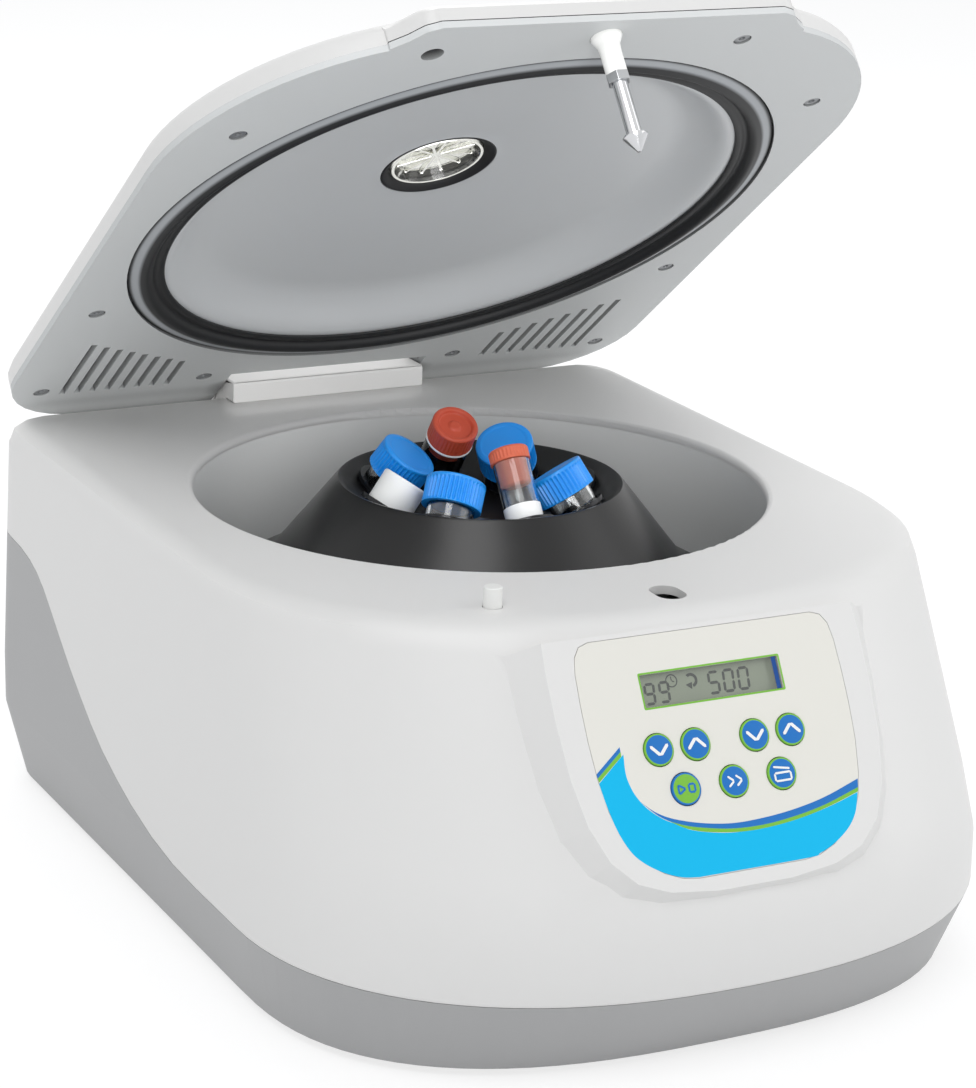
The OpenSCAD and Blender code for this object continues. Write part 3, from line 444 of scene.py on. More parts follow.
# %% Dress a CAD node
def dress(name, material, edge=0.0, angle=32):
    """Material, welded points and either a small rounded edge in mm or plain creases above an angle."""
    obj = nodes[name]
    obj.data.materials.clear()
    obj.data.materials.append(material)
    obj.modifiers.new("weld", "WELD").merge_threshold = 2e-6
    if edge:
        bevel = obj.modifiers.new("edge", "BEVEL")
        bevel.width = edge / 1000
        bevel.segments = 2
        bevel.limit_method = "ANGLE"
        bevel.angle_limit = math.radians(angle)
    else:
        obj.modifiers.new("crease", "EDGE_SPLIT").split_angle = math.radians(angle)
    obj.modifiers.new("weighted", "WEIGHTED_NORMAL").keep_sharp = False
    return obj


DRESS = {
    "base_housing": (grey_abs, 0.0), "top_cover": (white_abs, 0.0), "hinge_block": (white_abs, 0.8),
    "chamber_bowl": (bowl_enamel, 0.0), "panel_overlay": (cream_film, 0.0), "key_board": (board_laminate, 0.0),
    "display_window": (window_film, 0.0), "display_module": (display_grey, 0.0),
    "lid_cover": (lid_abs_painted_shade, 0.0), "lid_liner": (liner_abs_painted_shade, 0.3), "sight_port": (port_acrylic, 0.0),
    "lid_screws": (screw_steel, 0.2), "striker_sleeve": (acetal, 0.2), "striker_nut": (zinc_steel, 0.2),
    "striker_rod": (polished_steel, 0.2), "hinge_pin": (zinc_steel, 0.3), "latch_frame": (zinc_steel, 0.2),
    "lock_slide": (turned_brass, 0.2), "lock_solenoid": (black_nylon, 0.4), "lid_pin": (acetal, 0.3),
    "lid_pin_spring": (zinc_steel, 0.0), "lid_switch": (black_nylon, 0.3), "rotor_body": (black_anodised, 0.0),
    "tube_sleeves": (dark_sleeve, 0.3), "rotor_nut": (zinc_steel, 0.4), "drive_shaft": (polished_steel, 0.3),
    "motor_body": (motor_enamel, 0.0), "motor_plate": (zinc_steel, 0.3), "motor_isolators": (black_rubber, 0.0),
    "control_board": (board_laminate, 0.2), "power_supply": (zinc_steel, 0.3), "power_inlet": (black_nylon, 0.3),
    "power_switch": (black_nylon, 0.3), "switch_frame": (black_nylon, 0.3), "feet": (black_rubber, 0.6),
}
for node_name, (finish, edge) in DRESS.items():
    dress(node_name, finish, edge)
print("dressed", len(DRESS), "nodes")

# %% [markdown]
# ## The lid's underside
#
# The pan is one pressed sheet: a flat flange, a rolled shoulder, a steep wall and a shallow dish
# that rises to the sight port. Its profile runs along the lower face and comes back along the
# upper one, so the piece has the sheet's thickness.

# %% Pressed pan
PAN_EDGE, PAN_FLANGE, PAN_SHEET, PAN_TOP = 107.0, 128.0, 1.2, 23.8
PORT_HOLE = 22.1
lower = rounded([(PAN_FLANGE, 4.4), (PAN_EDGE + 1, 4.4), (103.6, 5.6), (97, 12.4), (90, 16.6),
                 (60, 20.4), (PORT_HOLE + 4, PAN_TOP), (PORT_HOLE, PAN_TOP)], 5, 6)
upper = lower[::-1] + (0.0, PAN_SHEET)
pan_profile = np.concatenate([lower, upper, lower[:1]])
pan = add_piece(turned("pan_sheet", pan_profile, lid, 192), pan_enamel, "lid", ["lid_pan"], 50)
print("pan faces:", len(pan.data.polygons))

# %% [markdown]
# The seal is one extrusion bent into a ring: a flat foot under the plate, a soft outer lip that
# presses on the deck and a dark channel between the lip and the pan.

# %% Rubber seal
seal_profile = rounded([(107.2, 4.3), (107.2, 3.5), (109.2, 2.9), (110.6, 3.6), (111.6, 3.4), (112.6, 1.6),
                        (114.2, 0.5), (115.6, 0.9), (117.6, 1.9), (119.2, 2.3), (120.6, 2.6), (121.2, 3.1),
                        (121.2, 4.3), (107.2, 4.3)], 0.9, 4)
seal_mesh = turned("seal_ring", seal_profile, lid, 192)
# Painted highlight: the outer lip's lit band, 116.5 to 120.4 mm from the centre, is stored per point for a paler
# rubber colour.
co = np.zeros(len(seal_mesh.vertices) * 3)
seal_mesh.vertices.foreach_get("co", co)
centre = lid(0.0, 0.0, 3.0)
reach = 1000 * np.linalg.norm(co.reshape(-1, 3) - centre, axis=1)
tone = np.clip((reach - 116.5) / 1.2, 0, 1) * np.clip((120.4 - reach) / 1.0, 0, 1)
seal_mesh.attributes.new("tone", "FLOAT", "POINT").data.foreach_set("value", tone.astype(np.float32))
seal = add_piece(seal_mesh, seal_rubber, "lid", ["lid_seal"], 60)

# %% [markdown]
# The gasket is a rubber ring that grips the sheet round the port's hole and slopes in towards the
# clear cup, whose rim stands a little deeper than the sheet.

# %% Port gasket
gasket_profile = rounded([(18.2, 28.0), (18.2, 26.3), (19.4, 24.9), (21.2, 23.6), (22.0, 23.8), (22.0, 25.0),
                          (24.5, 25.0), (24.5, 26.0), (21.0, 28.0), (18.2, 28.0)], 0.5, 4)
gasket = add_piece(turned("gasket_ring", gasket_profile, lid, 96), black_rubber, "lid",
                   ["port_gasket"], 60)

# %% [markdown]
# ## Caps and stoppers
#
# A screw cap is a cup with a ribbed skirt, so fingers can turn it. The ribs are a cosine round the
# circle, faded out at both ends of the skirt. Forty ribs on 22 mm give the 1.7 mm pitch of the
# real ones. Depths are measured down the sleeve.

# %% Ribbed caps
def ribs(count, depth, start, end, fade):
    """Wave that takes up to depth off the radius: 0.5 + 0.5 cos(count a), faded in and out along z."""
    def wave(angle, r, z):
        ease = np.clip((z - start) / fade, 0, 1) * np.clip((end - z) / fade, 0, 1)
        outer = r > 0.9 * r.max()
        return -depth * ease * outer * (0.5 + 0.5 * np.cos(count * angle))
    return wave


CAP_TIP, CAP_RADIUS, CAP_HEIGHT, TUBE_RADIUS = -7.0, 10.9, 10.4, 8.3
for word in ("one", "two", "three", "four"):
    tip, rim = CAP_TIP, CAP_TIP + CAP_HEIGHT
    profile = np.concatenate([
        rounded([(0, tip + 0.1), (CAP_RADIUS - 2.6, tip + 0.1), (CAP_RADIUS - 2.0, tip - 0.2),
                 (CAP_RADIUS - 0.1, tip), (CAP_RADIUS, tip + 1.1)], 0.6, 4),
        np.stack([np.full(12, CAP_RADIUS), np.linspace(tip + 1.4, rim - 0.6, 12)], axis=1),
        rounded([(CAP_RADIUS, rim - 0.4), (CAP_RADIUS, rim), (TUBE_RADIUS + 0.4, rim),
                 (TUBE_RADIUS + 0.4, tip + 2.2), (0, tip + 2.2)], 0.4, 3)])
    mesh = turned(f"ribbed_cap_{word}", profile, place(PLACES[word]), 400,
                  ribs(40, 0.75, tip + 1.1, rim - 0.3, 0.5))
    add_piece(mesh, blue_cap, f"tube_{word}", [f"cap_{word}"], 60)

# %% [markdown]
# Two tubes have moulded rubber stoppers with a knurled grip and a dished top that a needle can
# pierce. Their lower part is a plug inside the glass, which shows through as a darker band.

# %% Stoppers
NARROW_RADIUS = 6.7


def stopper(word, ends, radius, tube, mouth, material, ridge, count=48):
    """Dished top, ribbed side down to ends[1], and a plug from the tube's mouth down to ends[2]."""
    tip, rim, plug_end = ends
    bore = tube - 1.1
    skirt = [(tube + 0.1, rim), (tube + 0.1, mouth)] if mouth < rim else []
    profile = np.concatenate([
        rounded([(0, tip + 0.6), (2.0, tip + 0.7), (2.6, tip + 1.5), (radius - 2.6, tip + 1.5),
                 (radius - 2.0, tip + 0.1), (radius - 0.5, tip), (radius, tip + 0.8)], 0.5, 4),
        np.stack([np.full(12, radius), np.linspace(tip + 1.0, rim - 0.6, 12)], axis=1),
        rounded([(radius, rim - 0.4), (radius, rim)] + skirt + [(bore, mouth), (bore, plug_end - 1),
                (bore - 1.2, plug_end), (0, plug_end)], 0.4, 3)])
    wave = ribs(count, ridge, tip + 0.9, rim - 0.5, 0.6)
    mesh = turned(f"stopper_{word}", profile, place(PLACES[word]), 6 * count, wave)
    return add_piece(mesh, material, f"tube_{word}", [f"cap_{word}"], 60)


MOUTHS = {"five": (-14.4, NARROW_RADIUS), "six": (-14.2, TUBE_RADIUS), "seven": (1.5, TUBE_RADIUS)}
stopper("five", (-19.4, -14.4, -4.4), 7.3, NARROW_RADIUS, -14.4, orange_stopper, 0.3, 32)
stopper("six", (-18.2, -9.8, -4.0), 8.8, TUBE_RADIUS, -14.2, brick_stopper, 0.25, 40)
stopper("seven", (-2.5, 9.3, 9.0), 8.6, TUBE_RADIUS, 1.5, white_stopper, 0.0)
skirt_profile = np.array([(8.36, -9.7), (8.9, -9.7), (9.0, -9.3), (8.9, -8.9), (8.36, -8.9), (8.36, -9.7)])
add_piece(turned("stopper_skirt_rim", skirt_profile, place(PLACES["six"]), 96), white_stopper, "tube_six")

# %% [markdown]
# ## Tubes
#
# A conical tube has a thin wall, a cone at the bottom and, just under its cap, a thicker
# collar. The blood-collection kind has a round bottom and a plain wall. The wall is modelled
# inside and out, so that light bends as it does in the real one.

# %% Clear tubes
SLEEVE_FLOOR, TUBE_WALL = 73.3, 1.0
for word in ("one", "two", "three", "four"):
    r, w, b = TUBE_RADIUS, TUBE_WALL, SLEEVE_FLOOR
    collar = np.stack([np.full(8, r + 0.34), np.linspace(3.7, 8.7, 8)], axis=1)
    profile = np.concatenate([
        rounded([(r - w, -4.4), (r, -4.4), (r, 3.5)], 0.3, 2), collar,
        rounded([(r, 8.9), (r, b - 18), (3, b), (0, b)], 0.8, 4),
        rounded([(0, b - w), (2.6, b - w), (r - w, b - 18.3), (r - w, -4.4)], 0.8, 4)])
    mesh = turned(f"clear_tube_{word}", profile, place(PLACES[word]), 180)
    add_piece(mesh, clear_styrene, f"tube_{word}", [f"tube_{word}"], 40)

for word, (mouth, r) in MOUTHS.items():
    w, b = TUBE_WALL, SLEEVE_FLOOR
    quarter = np.linspace(0, np.pi / 2, 12)
    profile = np.concatenate([
        rounded([(r - w, mouth), (r, mouth), (r, b - r)], 0.3, 2),
        np.stack([r * np.cos(quarter), b - r + r * np.sin(quarter)], 1),
        np.stack([(r - w) * np.sin(quarter), b - r + (r - w) * np.cos(quarter)], 1),
        [(r - w, mouth)]])
    mesh = turned(f"clear_tube_{word}", profile, place(PLACES[word]), 96)
    add_piece(mesh, clear_styrene, f"tube_{word}", [f"tube_{word}"], 40)

# %% [markdown]
# The front tube carries a plain white paper label wrapped round its wall.

# %% Paper label
label_profile = np.array([(NARROW_RADIUS + 0.02, 2.6), (NARROW_RADIUS + 0.12, 2.6), (NARROW_RADIUS + 0.12, 10.0),
                          (NARROW_RADIUS + 0.02, 10.0), (NARROW_RADIUS + 0.02, 2.6)])
add_piece(turned("paper_label", label_profile, place(PLACES["five"]), 96), white_ink, "tube_five")

# %% [markdown]
# ## Key panel
#
# The printed shapes are strips between two curves. Each curve is a handful of points on the film
# joined smoothly, and the strip's grid runs from one curve to the other.

# %% Printed strips
def through(points, count):
    """Smooth curve through points: Catmull-Rom, each stretch a cubic set by its neighbours."""
    p = np.asarray(points, float)
    p = np.concatenate([2 * p[:1] - p[1:2], p, 2 * p[-1:] - p[-2:-1]])
    u = np.linspace(0, len(p) - 3 - 1e-9, count)
    i = u.astype(int)
    t = (u - i)[:, None]
    a, b, c, d = (p[i + k] for k in range(4))
    return 0.5 * (2 * b + (c - a) * t + (2 * a - 5 * b + 4 * c - d) * t ** 2 + (3 * b - a - 3 * c + d) * t ** 3)


def strip(name, first, second, height, material, body="housing", count=64):
    """Flat print between two curves on the panel, height above the face, with 0.02 mm of ink."""
    a, b = through(first, count), through(second, count)
    t = np.linspace(0, 1, 5)[None, :, None]
    flat = a[:, None] * (1 - t) + b[:, None] * t
    return add_piece(skin(name, panel(flat[..., 0], flat[..., 1], height)), material, body)


horn = [(-48.6, -48.4), (-38.4, -40.9)]
rim_left = [(-48.3, -51.4), (-47.4, -58), (-45.4, -67), (-42.3, -74.2), (-38.3, -78.7), (-32.3, -82.6), (-26, -85.1),
            (-20, -86.0)]
rim_right = [(-20, -86.0), (20, -86.0), (26, -85.1), (32.3, -82.6), (38.3, -78.7), (42.2, -74.2), (44.6, -68.4)]
arc = [(-37.6, -43.4), (-38.2, -49.6), (-37.5, -54.0), (-35.9, -57.9), (-33.1, -61.8), (-28.7, -65.6), (-24.0, -68.2)]
low_arc = [(-24.0, -68.2), (-18.7, -70.9), (-9.4, -73.1), (-0.5, -74.0), (11.1, -73.9), (23.1, -72.6), (34.8, -70.3),
           (44.8, -67.6)]
strip("ink_field_left", arc, rim_left, 0.03, cyan_ink)
strip("ink_field_right", low_arc, rim_right, 0.03, cyan_ink)
strip("ink_horn_blue", horn, [(-48.4, -49.7), (-38.4, -42.4)], 0.03, blue_ink, count=8)
strip("ink_horn_green", [(-48.4, -49.7), (-38.4, -42.4)], [(-48.2, -51.1), (-38.5, -44.0)], 0.03, green_ink, count=8)
strip("ink_sweep_blue", [(-35.2, -59.2), (-30.4, -63.4), (-24.4, -66.4), (-14.5, -69.2), (-3.5, -70.8), (8.1, -70.7),
                         (20.0, -69.6), (32.4, -67.3), (46.0, -63.2)],
      [(-35.2, -59.2), (-29.0, -65.2), (-22.0, -68.6), (-14.9, -70.6), (-3.9, -72.5), (7.5, -72.9), (19.4, -71.9),
       (31.7, -69.8), (45.4, -66.0)], 0.05, blue_ink)
strip("ink_sweep_green", [(-27.0, -66.4), (-22.0, -68.6), (-14.9, -70.6), (-3.9, -72.5), (7.5, -72.9), (19.4, -71.9),
                          (31.7, -69.8), (45.4, -66.0)],
      [(-27.0, -66.4), (-21.0, -69.9), (-13.0, -72.3), (-0.5, -74.0), (11.1, -73.9), (23.1, -72.6), (34.8, -70.2),
       (45.0, -67.4)], 0.04, green_ink)

# %% [markdown]
# The display is a liquid-crystal cell behind a clear window: figures made of seven bars, with a
# small clock face and a turning mark. The figures are plain numbers.

# %% Display figures
BARS = {"0": "abcdef", "5": "afgcd", "9": "abcdfg"}
BAR_ENDS = {"a": ((0, 2), (1, 2)), "b": ((1, 2), (1, 1)), "c": ((1, 1), (1, 0)), "d": ((0, 0), (1, 0)),
            "e": ((0, 0), (0, 1)), "f": ((0, 1), (0, 2)), "g": ((0, 1), (1, 1))}
CELL_FACE = -2.16


def flat_bar(start, end, width, height, gap=0.0):
    """Six-cornered bar between two points of the panel, pointed at both ends, as panel coordinates."""
    a, b = np.asarray(start, float), np.asarray(end, float)
    along = (b - a) / np.linalg.norm(b - a)
    side = np.array([-along[1], along[0]]) * width / 2
    a, b = a + along * gap, b - along * gap
    tip = along * width / 2
    ring = np.array([a, a + tip + side, b - tip + side, b, b - tip - side, a + tip - side])
    return panel(ring[:, 0], ring[:, 1], height)


def join_polygons(name, rings, material, body="housing"):
    """One flat piece from several closed outlines."""
    mesh = bpy.data.meshes.new(name)
    corners = np.concatenate(rings)
    starts = np.cumsum([0] + [len(r) for r in rings])
    mesh.from_pydata(corners, [], [list(range(a, b)) for a, b in zip(starts[:-1], starts[1:])])
    return add_piece(mesh, material, body)


def figure(digit, x, s, wide, high):
    """Bars of one seven-bar figure with its lower left corner at x, s, leaning a little like real ones."""
    rings = []
    for bar in BARS[digit]:
        ends = [(x + u * wide + v * high * 0.04, s + v * high / 2) for u, v in BAR_ENDS[bar]]
        rings.append(flat_bar(ends[0], ends[1], 0.95, CELL_FACE, 0.1))
    return rings


figures = figure("9", -24.2, -28.4, 3.2, 6.4) + figure("9", -18.8, -28.4, 3.2, 6.4)
for digit, x in (("5", -0.2), ("0", 5.4), ("0", 11.0)):
    figures += figure(digit, x, -27.9, 3.5, 6.9)
join_polygons("display_figures", figures, display_dark)


def ring_arc(x, s, radius, width, start, end, height, count=48):
    """Flat ring or part of one: inner and outer circle joined by a strip, as a grid of panel points."""
    angle = np.radians(np.linspace(start, end, count))[:, None]
    r = np.array([radius - width / 2, radius + width / 2])[None, :]
    return panel(x + r * np.cos(angle), s + r * np.sin(angle), height)


add_piece(skin("display_clock", ring_arc(-13.6, -21.9, 2.0, 0.42, 0, 360, CELL_FACE)), display_dark, "housing")
join_polygons("display_clock_hands", [flat_bar((-13.6, -21.9), (-13.6, -20.4), 0.38, CELL_FACE),
                                      flat_bar((-13.6, -21.9), (-12.5, -22.4), 0.38, CELL_FACE)],
              display_dark)
add_piece(skin("display_turning_mark", ring_arc(-6.4, -22.6, 1.9, 1.0, -80, 130, CELL_FACE)), display_dark,
          "housing")
turn_tip = panel(np.array([-8.7, -6.2, -6.6]), np.array([-23.9, -23.2, -25.6]), CELL_FACE)
join_polygons("display_turning_tip", [turn_tip], display_dark)

# %% [markdown]
# Round the window runs a thin printed frame in green, with a blue bar along its right end.

# %% Window frame
WIDE, HIGH, MIDDLE = 26.0, 5.45, -24.4


def frame_ring(grow, corner=0.6):
    """Closed outline of the window grown by grow, with small round corners."""
    angle = np.linspace(0, 2 * np.pi, 49)
    x = np.clip(np.cos(angle) * 9, -1, 1) * (WIDE + grow - corner) + corner * np.cos(angle)
    s = np.clip(np.sin(angle) * 9, -1, 1) * (HIGH + grow - corner) + corner * np.sin(angle)
    return np.stack([x, s + MIDDLE], axis=1)


inner, outer = frame_ring(0.02), frame_ring(0.62)
frame_grid = np.stack([inner, outer], axis=1)
add_piece(skin("window_frame_ink", panel(frame_grid[..., 0], frame_grid[..., 1], 0.03)), green_ink, "housing")
join_polygons("window_end_bar", [panel(np.array([23.6, 25.2, 25.2, 23.6]), np.array([-29.7, -29.7, -19.1, -19.1]),
                                       -0.17)], navy_ink)

# %% [markdown]
# A key is a disc of film domed over a small actuator. The face is a turned surface: a gentle crown,
# a printed ring near the edge and a short skirt. Ring and face are separate inks on one skin, so the
# faces take their material from their radius.

# %% Domed keys
KEYS = {"key_time_down": (-24.8, -43.7), "key_time_up": (-11.1, -43.7), "key_speed_down": (11.1, -43.7),
        "key_speed_up": (24.8, -43.7), "key_start_stop": (-18.0, -57.5), "key_quick": (0.0, -57.5),
        "key_open": (18.0, -57.5)}
KEY_RADIUS, KEY_PROUD, RING_RADIUS = 5.3, 0.9, 4.75


def crown(r):
    """Height of the key's face: a paraboloid that falls 0.35 mm from centre to edge."""
    return KEY_PROUD - 0.35 * (r / KEY_RADIUS) ** 2


for name, (x, s) in KEYS.items():
    radii = np.array([0, 1.2, 2.4, 3.6, 4.4, RING_RADIUS, RING_RADIUS + 0.01, 5.0, 5.2])
    top = np.stack([radii, crown(radii)], axis=1)
    side = np.array([(5.28, 0.42), (KEY_RADIUS, 0.2), (KEY_RADIUS, -3.2), (1.6, -3.2), (1.6, -7.8), (0, -7.8)])
    mesh = turned(f"face_{name}", np.concatenate([top, side]), lambda a, b, c: panel(x + a, s + b, c), 72)
    green_face = name == "key_start_stop"
    mesh.materials.append(green_ink if green_face else blue_ink)
    mesh.materials.append(blue_ink if green_face else green_ink)
    centres = np.zeros(len(mesh.polygons) * 3)
    mesh.polygons.foreach_get("center", centres)
    out = 1000 * np.linalg.norm(centres.reshape(-1, 3) - panel(x, s, 0.6), axis=1)
    mesh.polygons.foreach_set("material_index", (out > RING_RADIUS).astype(np.int32))
    add_piece(mesh, None, name, [name], 40)

# %% [markdown]
# The signs on the keys are strokes in white ink: arrowheads for less and more, a triangle beside a
# square for start and stop, a double arrow for the short run, and a box with a raised lid.

# %% Key signs
def strokes(name, lines, x, s, body, material, slot, width=0.75):
    """Straight strokes that follow the key's crown a hair above it."""
    rings = []
    for a, b in lines:
        lift = float(crown(np.hypot(*np.mean([a, b], axis=0)))) + 0.06
        rings.append(flat_bar((x + a[0], s + a[1]), (x + b[0], s + b[1]), width, lift))
    return join_polygons(name, rings, material, body)


DOWN = [((-3.3, 1.5), (0.0, -2.0)), ((3.3, 1.5), (0.0, -2.0))]
UP = [((-3.3, -1.5), (0.0, 2.0)), ((3.3, -1.5), (0.0, 2.0))]
START = [((-3.0, 1.5), (-3.0, -1.5)), ((-3.0, 1.5), (-0.5, 0.0)), ((-3.0, -1.5), (-0.5, 0.0)),
         ((0.8, 1.3), (3.0, 1.3)), ((3.0, 1.3), (3.0, -1.3)), ((3.0, -1.3), (0.8, -1.3)), ((0.8, -1.3), (0.8, 1.3))]
QUICK = [((-2.6, 1.8), (-0.4, 0.0)), ((-2.6, -1.8), (-0.4, 0.0)), ((0.4, 1.8), (2.6, 0.0)), ((0.4, -1.8), (2.6, 0.0))]
OPEN = [((-3.2, 2.4), (3.0, 1.2)), ((-3.0, 0.2), (3.0, 0.2)), ((-3.0, 0.2), (-3.0, -2.4)), ((3.0, 0.2), (3.0, -2.4)),
        ((-3.0, -2.4), (3.0, -2.4))]
SIGNS = {"key_time_down": DOWN, "key_time_up": UP, "key_speed_down": DOWN, "key_speed_up": UP,
         "key_start_stop": START, "key_quick": QUICK, "key_open": OPEN}
for name, lines in SIGNS.items():
    ink = blue_ink if name == "key_start_stop" else white_ink
    strokes(f"sign_{name}", lines, *KEYS[name], name, ink, "key_blue", 0.7 if len(lines) > 2 else 1.1)

# %% [markdown]
# ## Rear fittings
#
# The inlet's three flat pins are brass, which the CAD keeps in the same solid as the socket. Thin
# sleeves of metal stand over them. The rocker has the usual line and circle for on and off.

# %% Inlet pins and rocker marks
inlet_low, inlet_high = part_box("power_inlet")
PIN_LENGTH, PIN_WIDE, PIN_HIGH = 15.0, 2.1, 4.1
WALL_Y = 1000 * inlet_high.y - AXIS_Y - 0.9


def pin_sleeve(name, x, z):
    """Flat pin with a rounded nose: a rounded rectangle carried along y, shrinking over the last millimetre."""
    along = np.array([0, 0, 0.3, 0.7, 0.93, 1.0])[:, None]
    y = WALL_Y - 18.1 + PIN_LENGTH * along + 0.1
    size = np.array([0, 1, 1, 1, 1, 0.75])[:, None]
    angle = np.linspace(0, 2 * np.pi, 32, endpoint=False)[None, :]
    px = np.sign(np.cos(angle)) * np.abs(np.cos(angle)) ** 0.4 * PIN_WIDE / 2 * size
    pz = np.sign(np.sin(angle)) * np.abs(np.sin(angle)) ** 0.4 * PIN_HIGH / 2 * size
    cap = np.concatenate([deck(x + px, y, z + pz), np.broadcast_to(deck(x, y[-1, 0], z), (1, 32, 3))])
    return add_piece(skin(name, cap, around=True), turned_brass, "housing")


for label, (x, z) in {"left": (33, -109), "right": (47, -109), "upper": (40, -105)}.items():
    pin_sleeve(f"inlet_pin_{label}", x, z)


# %% Rocker marks
SWITCH_X, SOCKET_Z, ROCK = 88.0, -107.5, math.radians(9)


def rocker(x, up, out=0.03):
    """Rocker millimetres to frame metres: its face falls 1.2 mm in 5.3 from the ridge and the whole is tipped."""
    face = 4.6 - 1.2 * np.abs(up) / 5.3 + out
    y = face * math.cos(ROCK) - up * math.sin(ROCK)
    z = face * math.sin(ROCK) + up * math.cos(ROCK)
    return deck(SWITCH_X + x, WALL_Y - 5 + y, SOCKET_Z + z)


turn = np.linspace(0, 2 * np.pi, 40)[:, None]
off_ring = rocker(np.array([1.0, 1.35]) * np.cos(turn), 2.8 + np.array([1.0, 1.35]) * np.sin(turn))
add_piece(skin("rocker_off_ring", off_ring), white_ink, "power_switch")
on_bar = rocker(np.array([[-0.2, 0.2], [-0.2, 0.2]]), np.array([[-4.1, -4.1], [-1.5, -1.5]]))
add_piece(skin("rocker_on_bar", on_bar), white_ink, "power_switch")

# %% [markdown]
# ## Stage, light and camera
#
# The photograph is a cut-out on white with a soft shade under the machine. A large floor of near
# white, seen by the camera as white, keeps that and still takes the object's own shadow.

# %% Floor
def seen_directly(tree):
    """1 for camera, glossy and transmission rays, 0 for the rays that carry light between surfaces."""
    ray = add_node(tree, "ShaderNodeLightPath")
    seen = ray.outputs["Is Camera Ray"]
    for kind in ("Is Glossy Ray", "Is Transmission Ray"):
        both = {0: seen, 1: ray.outputs[kind]}
        seen = add_node(tree, "ShaderNodeMath", links=both, operation="MAXIMUM").outputs[0]
    return seen


def floor_material():
    """Pale paper: diffuse light grey for the light, and mostly plain white where it is seen directly."""
    material = bpy.data.materials.new("pale_studio_paper")
    material.use_nodes = True
    tree = material.node_tree
    shader = tree.nodes["Principled BSDF"]
    shader.inputs["Base Color"].default_value = linear("#F4F4F4")
    shader.inputs["Roughness"].default_value = 0.9
    shader.inputs["Specular IOR Level"].default_value = 0.1
    white = add_node(tree, "ShaderNodeEmission", {"Strength": 1.12})
    share = add_node(tree, "ShaderNodeMath", {1: FLOOR_WHITE}, {0: seen_directly(tree)}, operation="MULTIPLY")
    mix = add_node(tree, "ShaderNodeMixShader",
                   links={0: share.outputs[0], 1: shader.outputs[0], 2: white.outputs[0]})
    tree.links.new(mix.outputs[0], tree.nodes["Material Output"].inputs["Surface"])
    return material


FLOOR_WHITE = 0.68
floor_mesh = skin("studio_floor", np.stack(np.meshgrid([-6.0, 6.0], [-6.0, 6.0], indexing="ij") + [np.zeros((2, 2))],
                                           axis=-1))
floor = bpy.data.objects.new("studio_floor", floor_mesh)
floor_mesh.materials.append(floor_material())
bpy.context.scene.collection.objects.link(floor)

# %% [markdown]
# The light is a pale surround with three broad lamps: one high above the front, a weaker one at the
# right and one behind for the lid's edge. Broad lamps give the soft, short shadows of a product
# picture. A low fourth one stands for the card that throws light in under the open lid: it is linked
# to what lies there, because a real card would be hidden from the front of the housing.

# %% World and lamps
def pale_world():
    """Surround that lights softly and looks white to camera, glossy and clear rays."""
    world = bpy.data.worlds.new("studio_surround")
    world.use_nodes = True
    tree = world.node_tree
    tree.nodes.clear()
    soft = add_node(tree, "ShaderNodeBackground", {"Color": (0.95, 0.97, 1.0, 1), "Strength": 0.62})
    white = add_node(tree, "ShaderNodeBackground", {"Color": (1, 1, 1, 1), "Strength": 1.0})
    mix = add_node(tree, "ShaderNodeMixShader",
                   links={0: seen_directly(tree), 1: soft.outputs[0], 2: white.outputs[0]})
    add_node(tree, "ShaderNodeOutputWorld", links={"Surface": mix.outputs[0]})
    return world


def lamp(name, spot, target, size, watts):
    """Square area lamp at spot, turned to face target, both in metres."""
    data = bpy.data.lights.new(name, "AREA")
    data.size = size
    data.energy = watts
    obj = bpy.data.objects.new(name, data)
    bpy.context.scene.collection.objects.link(obj)
    away = np.array(spot, float) - np.array(target, float)
    away /= np.linalg.norm(away)
    side = np.cross([0, 0, 1], away)
    side /= np.linalg.norm(side)
    turn = np.stack([side, np.cross(away, side), away], axis=1)
    obj.matrix_world = Matrix.Translation(spot) @ Matrix(turn.tolist()).to_4x4()
    return obj


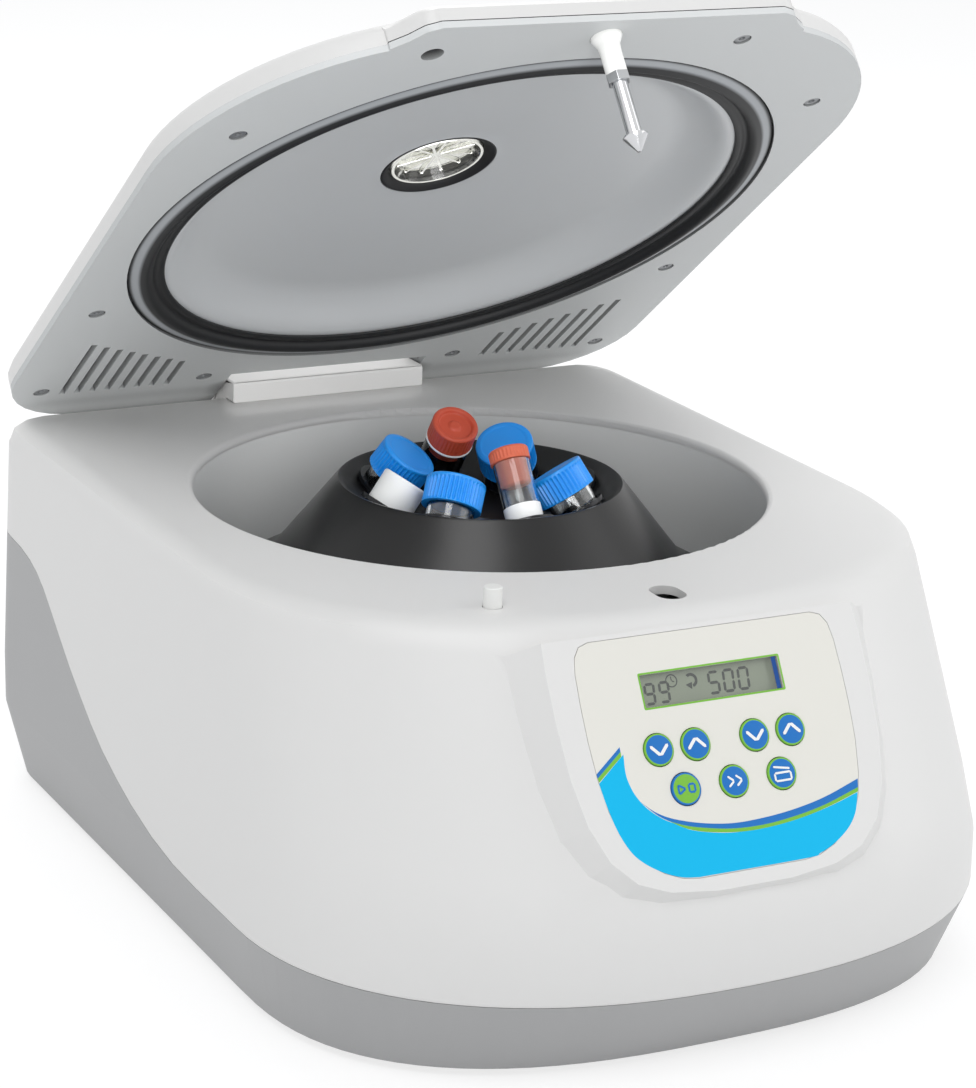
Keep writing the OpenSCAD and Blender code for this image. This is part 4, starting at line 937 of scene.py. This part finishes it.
bpy.context.scene.world = pale_world()
lamp("key_lamp", (-0.7, -1.0, 2.1), (0, 0, 0.15), 1.2, 17)
lamp("fill_lamp", (1.5, -0.9, 0.9), (0, 0, 0.15), 1.4, 6)
lamp("rear_lamp", (0.3, 1.4, 1.5), (0, 0, 0.25), 1.2, 11)
card = lamp("low_lamp", (-0.75, -2.5, 0.6), (0, 0.05, 0.2), 1.4, 34)
lit = bpy.data.collections.new("under_the_lid")
SHELL = ("base_housing", "top_cover", "panel_", "display_", "key_", "ink_", "window_", "face_", "sign_",
         "lid_pin", "lid_cover")
for piece in bpy.data.objects:
    if piece.type == "MESH" and piece is not floor and not piece.name.startswith(SHELL):
        lit.objects.link(piece)
card.light_linking.receiver_collection = lit

# %% [markdown]
# The camera was placed by fitting the picture's own lines: the opening's ellipse, the lid's ring and
# the panel's corners. Azimuth and elevation give its direction, and a small roll levels the deck.

# %% Camera
AZIMUTH, ELEVATION, ROLL = (math.radians(v) for v in (-27.541, 17.352, 1.881))
CAMERA_MM = (-529.3, -1026.7, 337.3)
FOCAL_PIXELS, PICTURE, CENTRE_PIXEL = 3282.0, (976, 1088), (493.05, 544.49)


def camera_turn():
    """Columns are the camera's right, up and back axes: azimuth, then elevation, then roll about the view."""
    ca, sa, ce, se = math.cos(AZIMUTH), math.sin(AZIMUTH), math.cos(ELEVATION), math.sin(ELEVATION)
    right, up = np.array([ca, sa, 0]), np.array([-sa * se, ca * se, ce])
    back = np.array([sa * ce, -ca * ce, se])
    cr, sr = math.cos(ROLL), math.sin(ROLL)
    return np.stack([cr * right + sr * up, -sr * right + cr * up, back], axis=1)


camera_data = bpy.data.cameras.new("photo_camera")
camera_data.sensor_width = 36
camera_data.lens = 36 * FOCAL_PIXELS / max(PICTURE)
camera_data.shift_x = (PICTURE[0] / 2 - CENTRE_PIXEL[0]) / max(PICTURE)
camera_data.shift_y = (CENTRE_PIXEL[1] - PICTURE[1] / 2) / max(PICTURE)
camera_data.clip_end = 20
camera = bpy.data.objects.new("photo_camera", camera_data)
bpy.context.scene.collection.objects.link(camera)
camera.matrix_world = Matrix.Translation(deck(*CAMERA_MM).tolist()) @ Matrix(camera_turn().tolist()).to_4x4()
bpy.context.scene.camera = camera
bpy.context.scene.view_settings.view_transform = "Standard"
print("lens", round(camera_data.lens, 2), "mm")
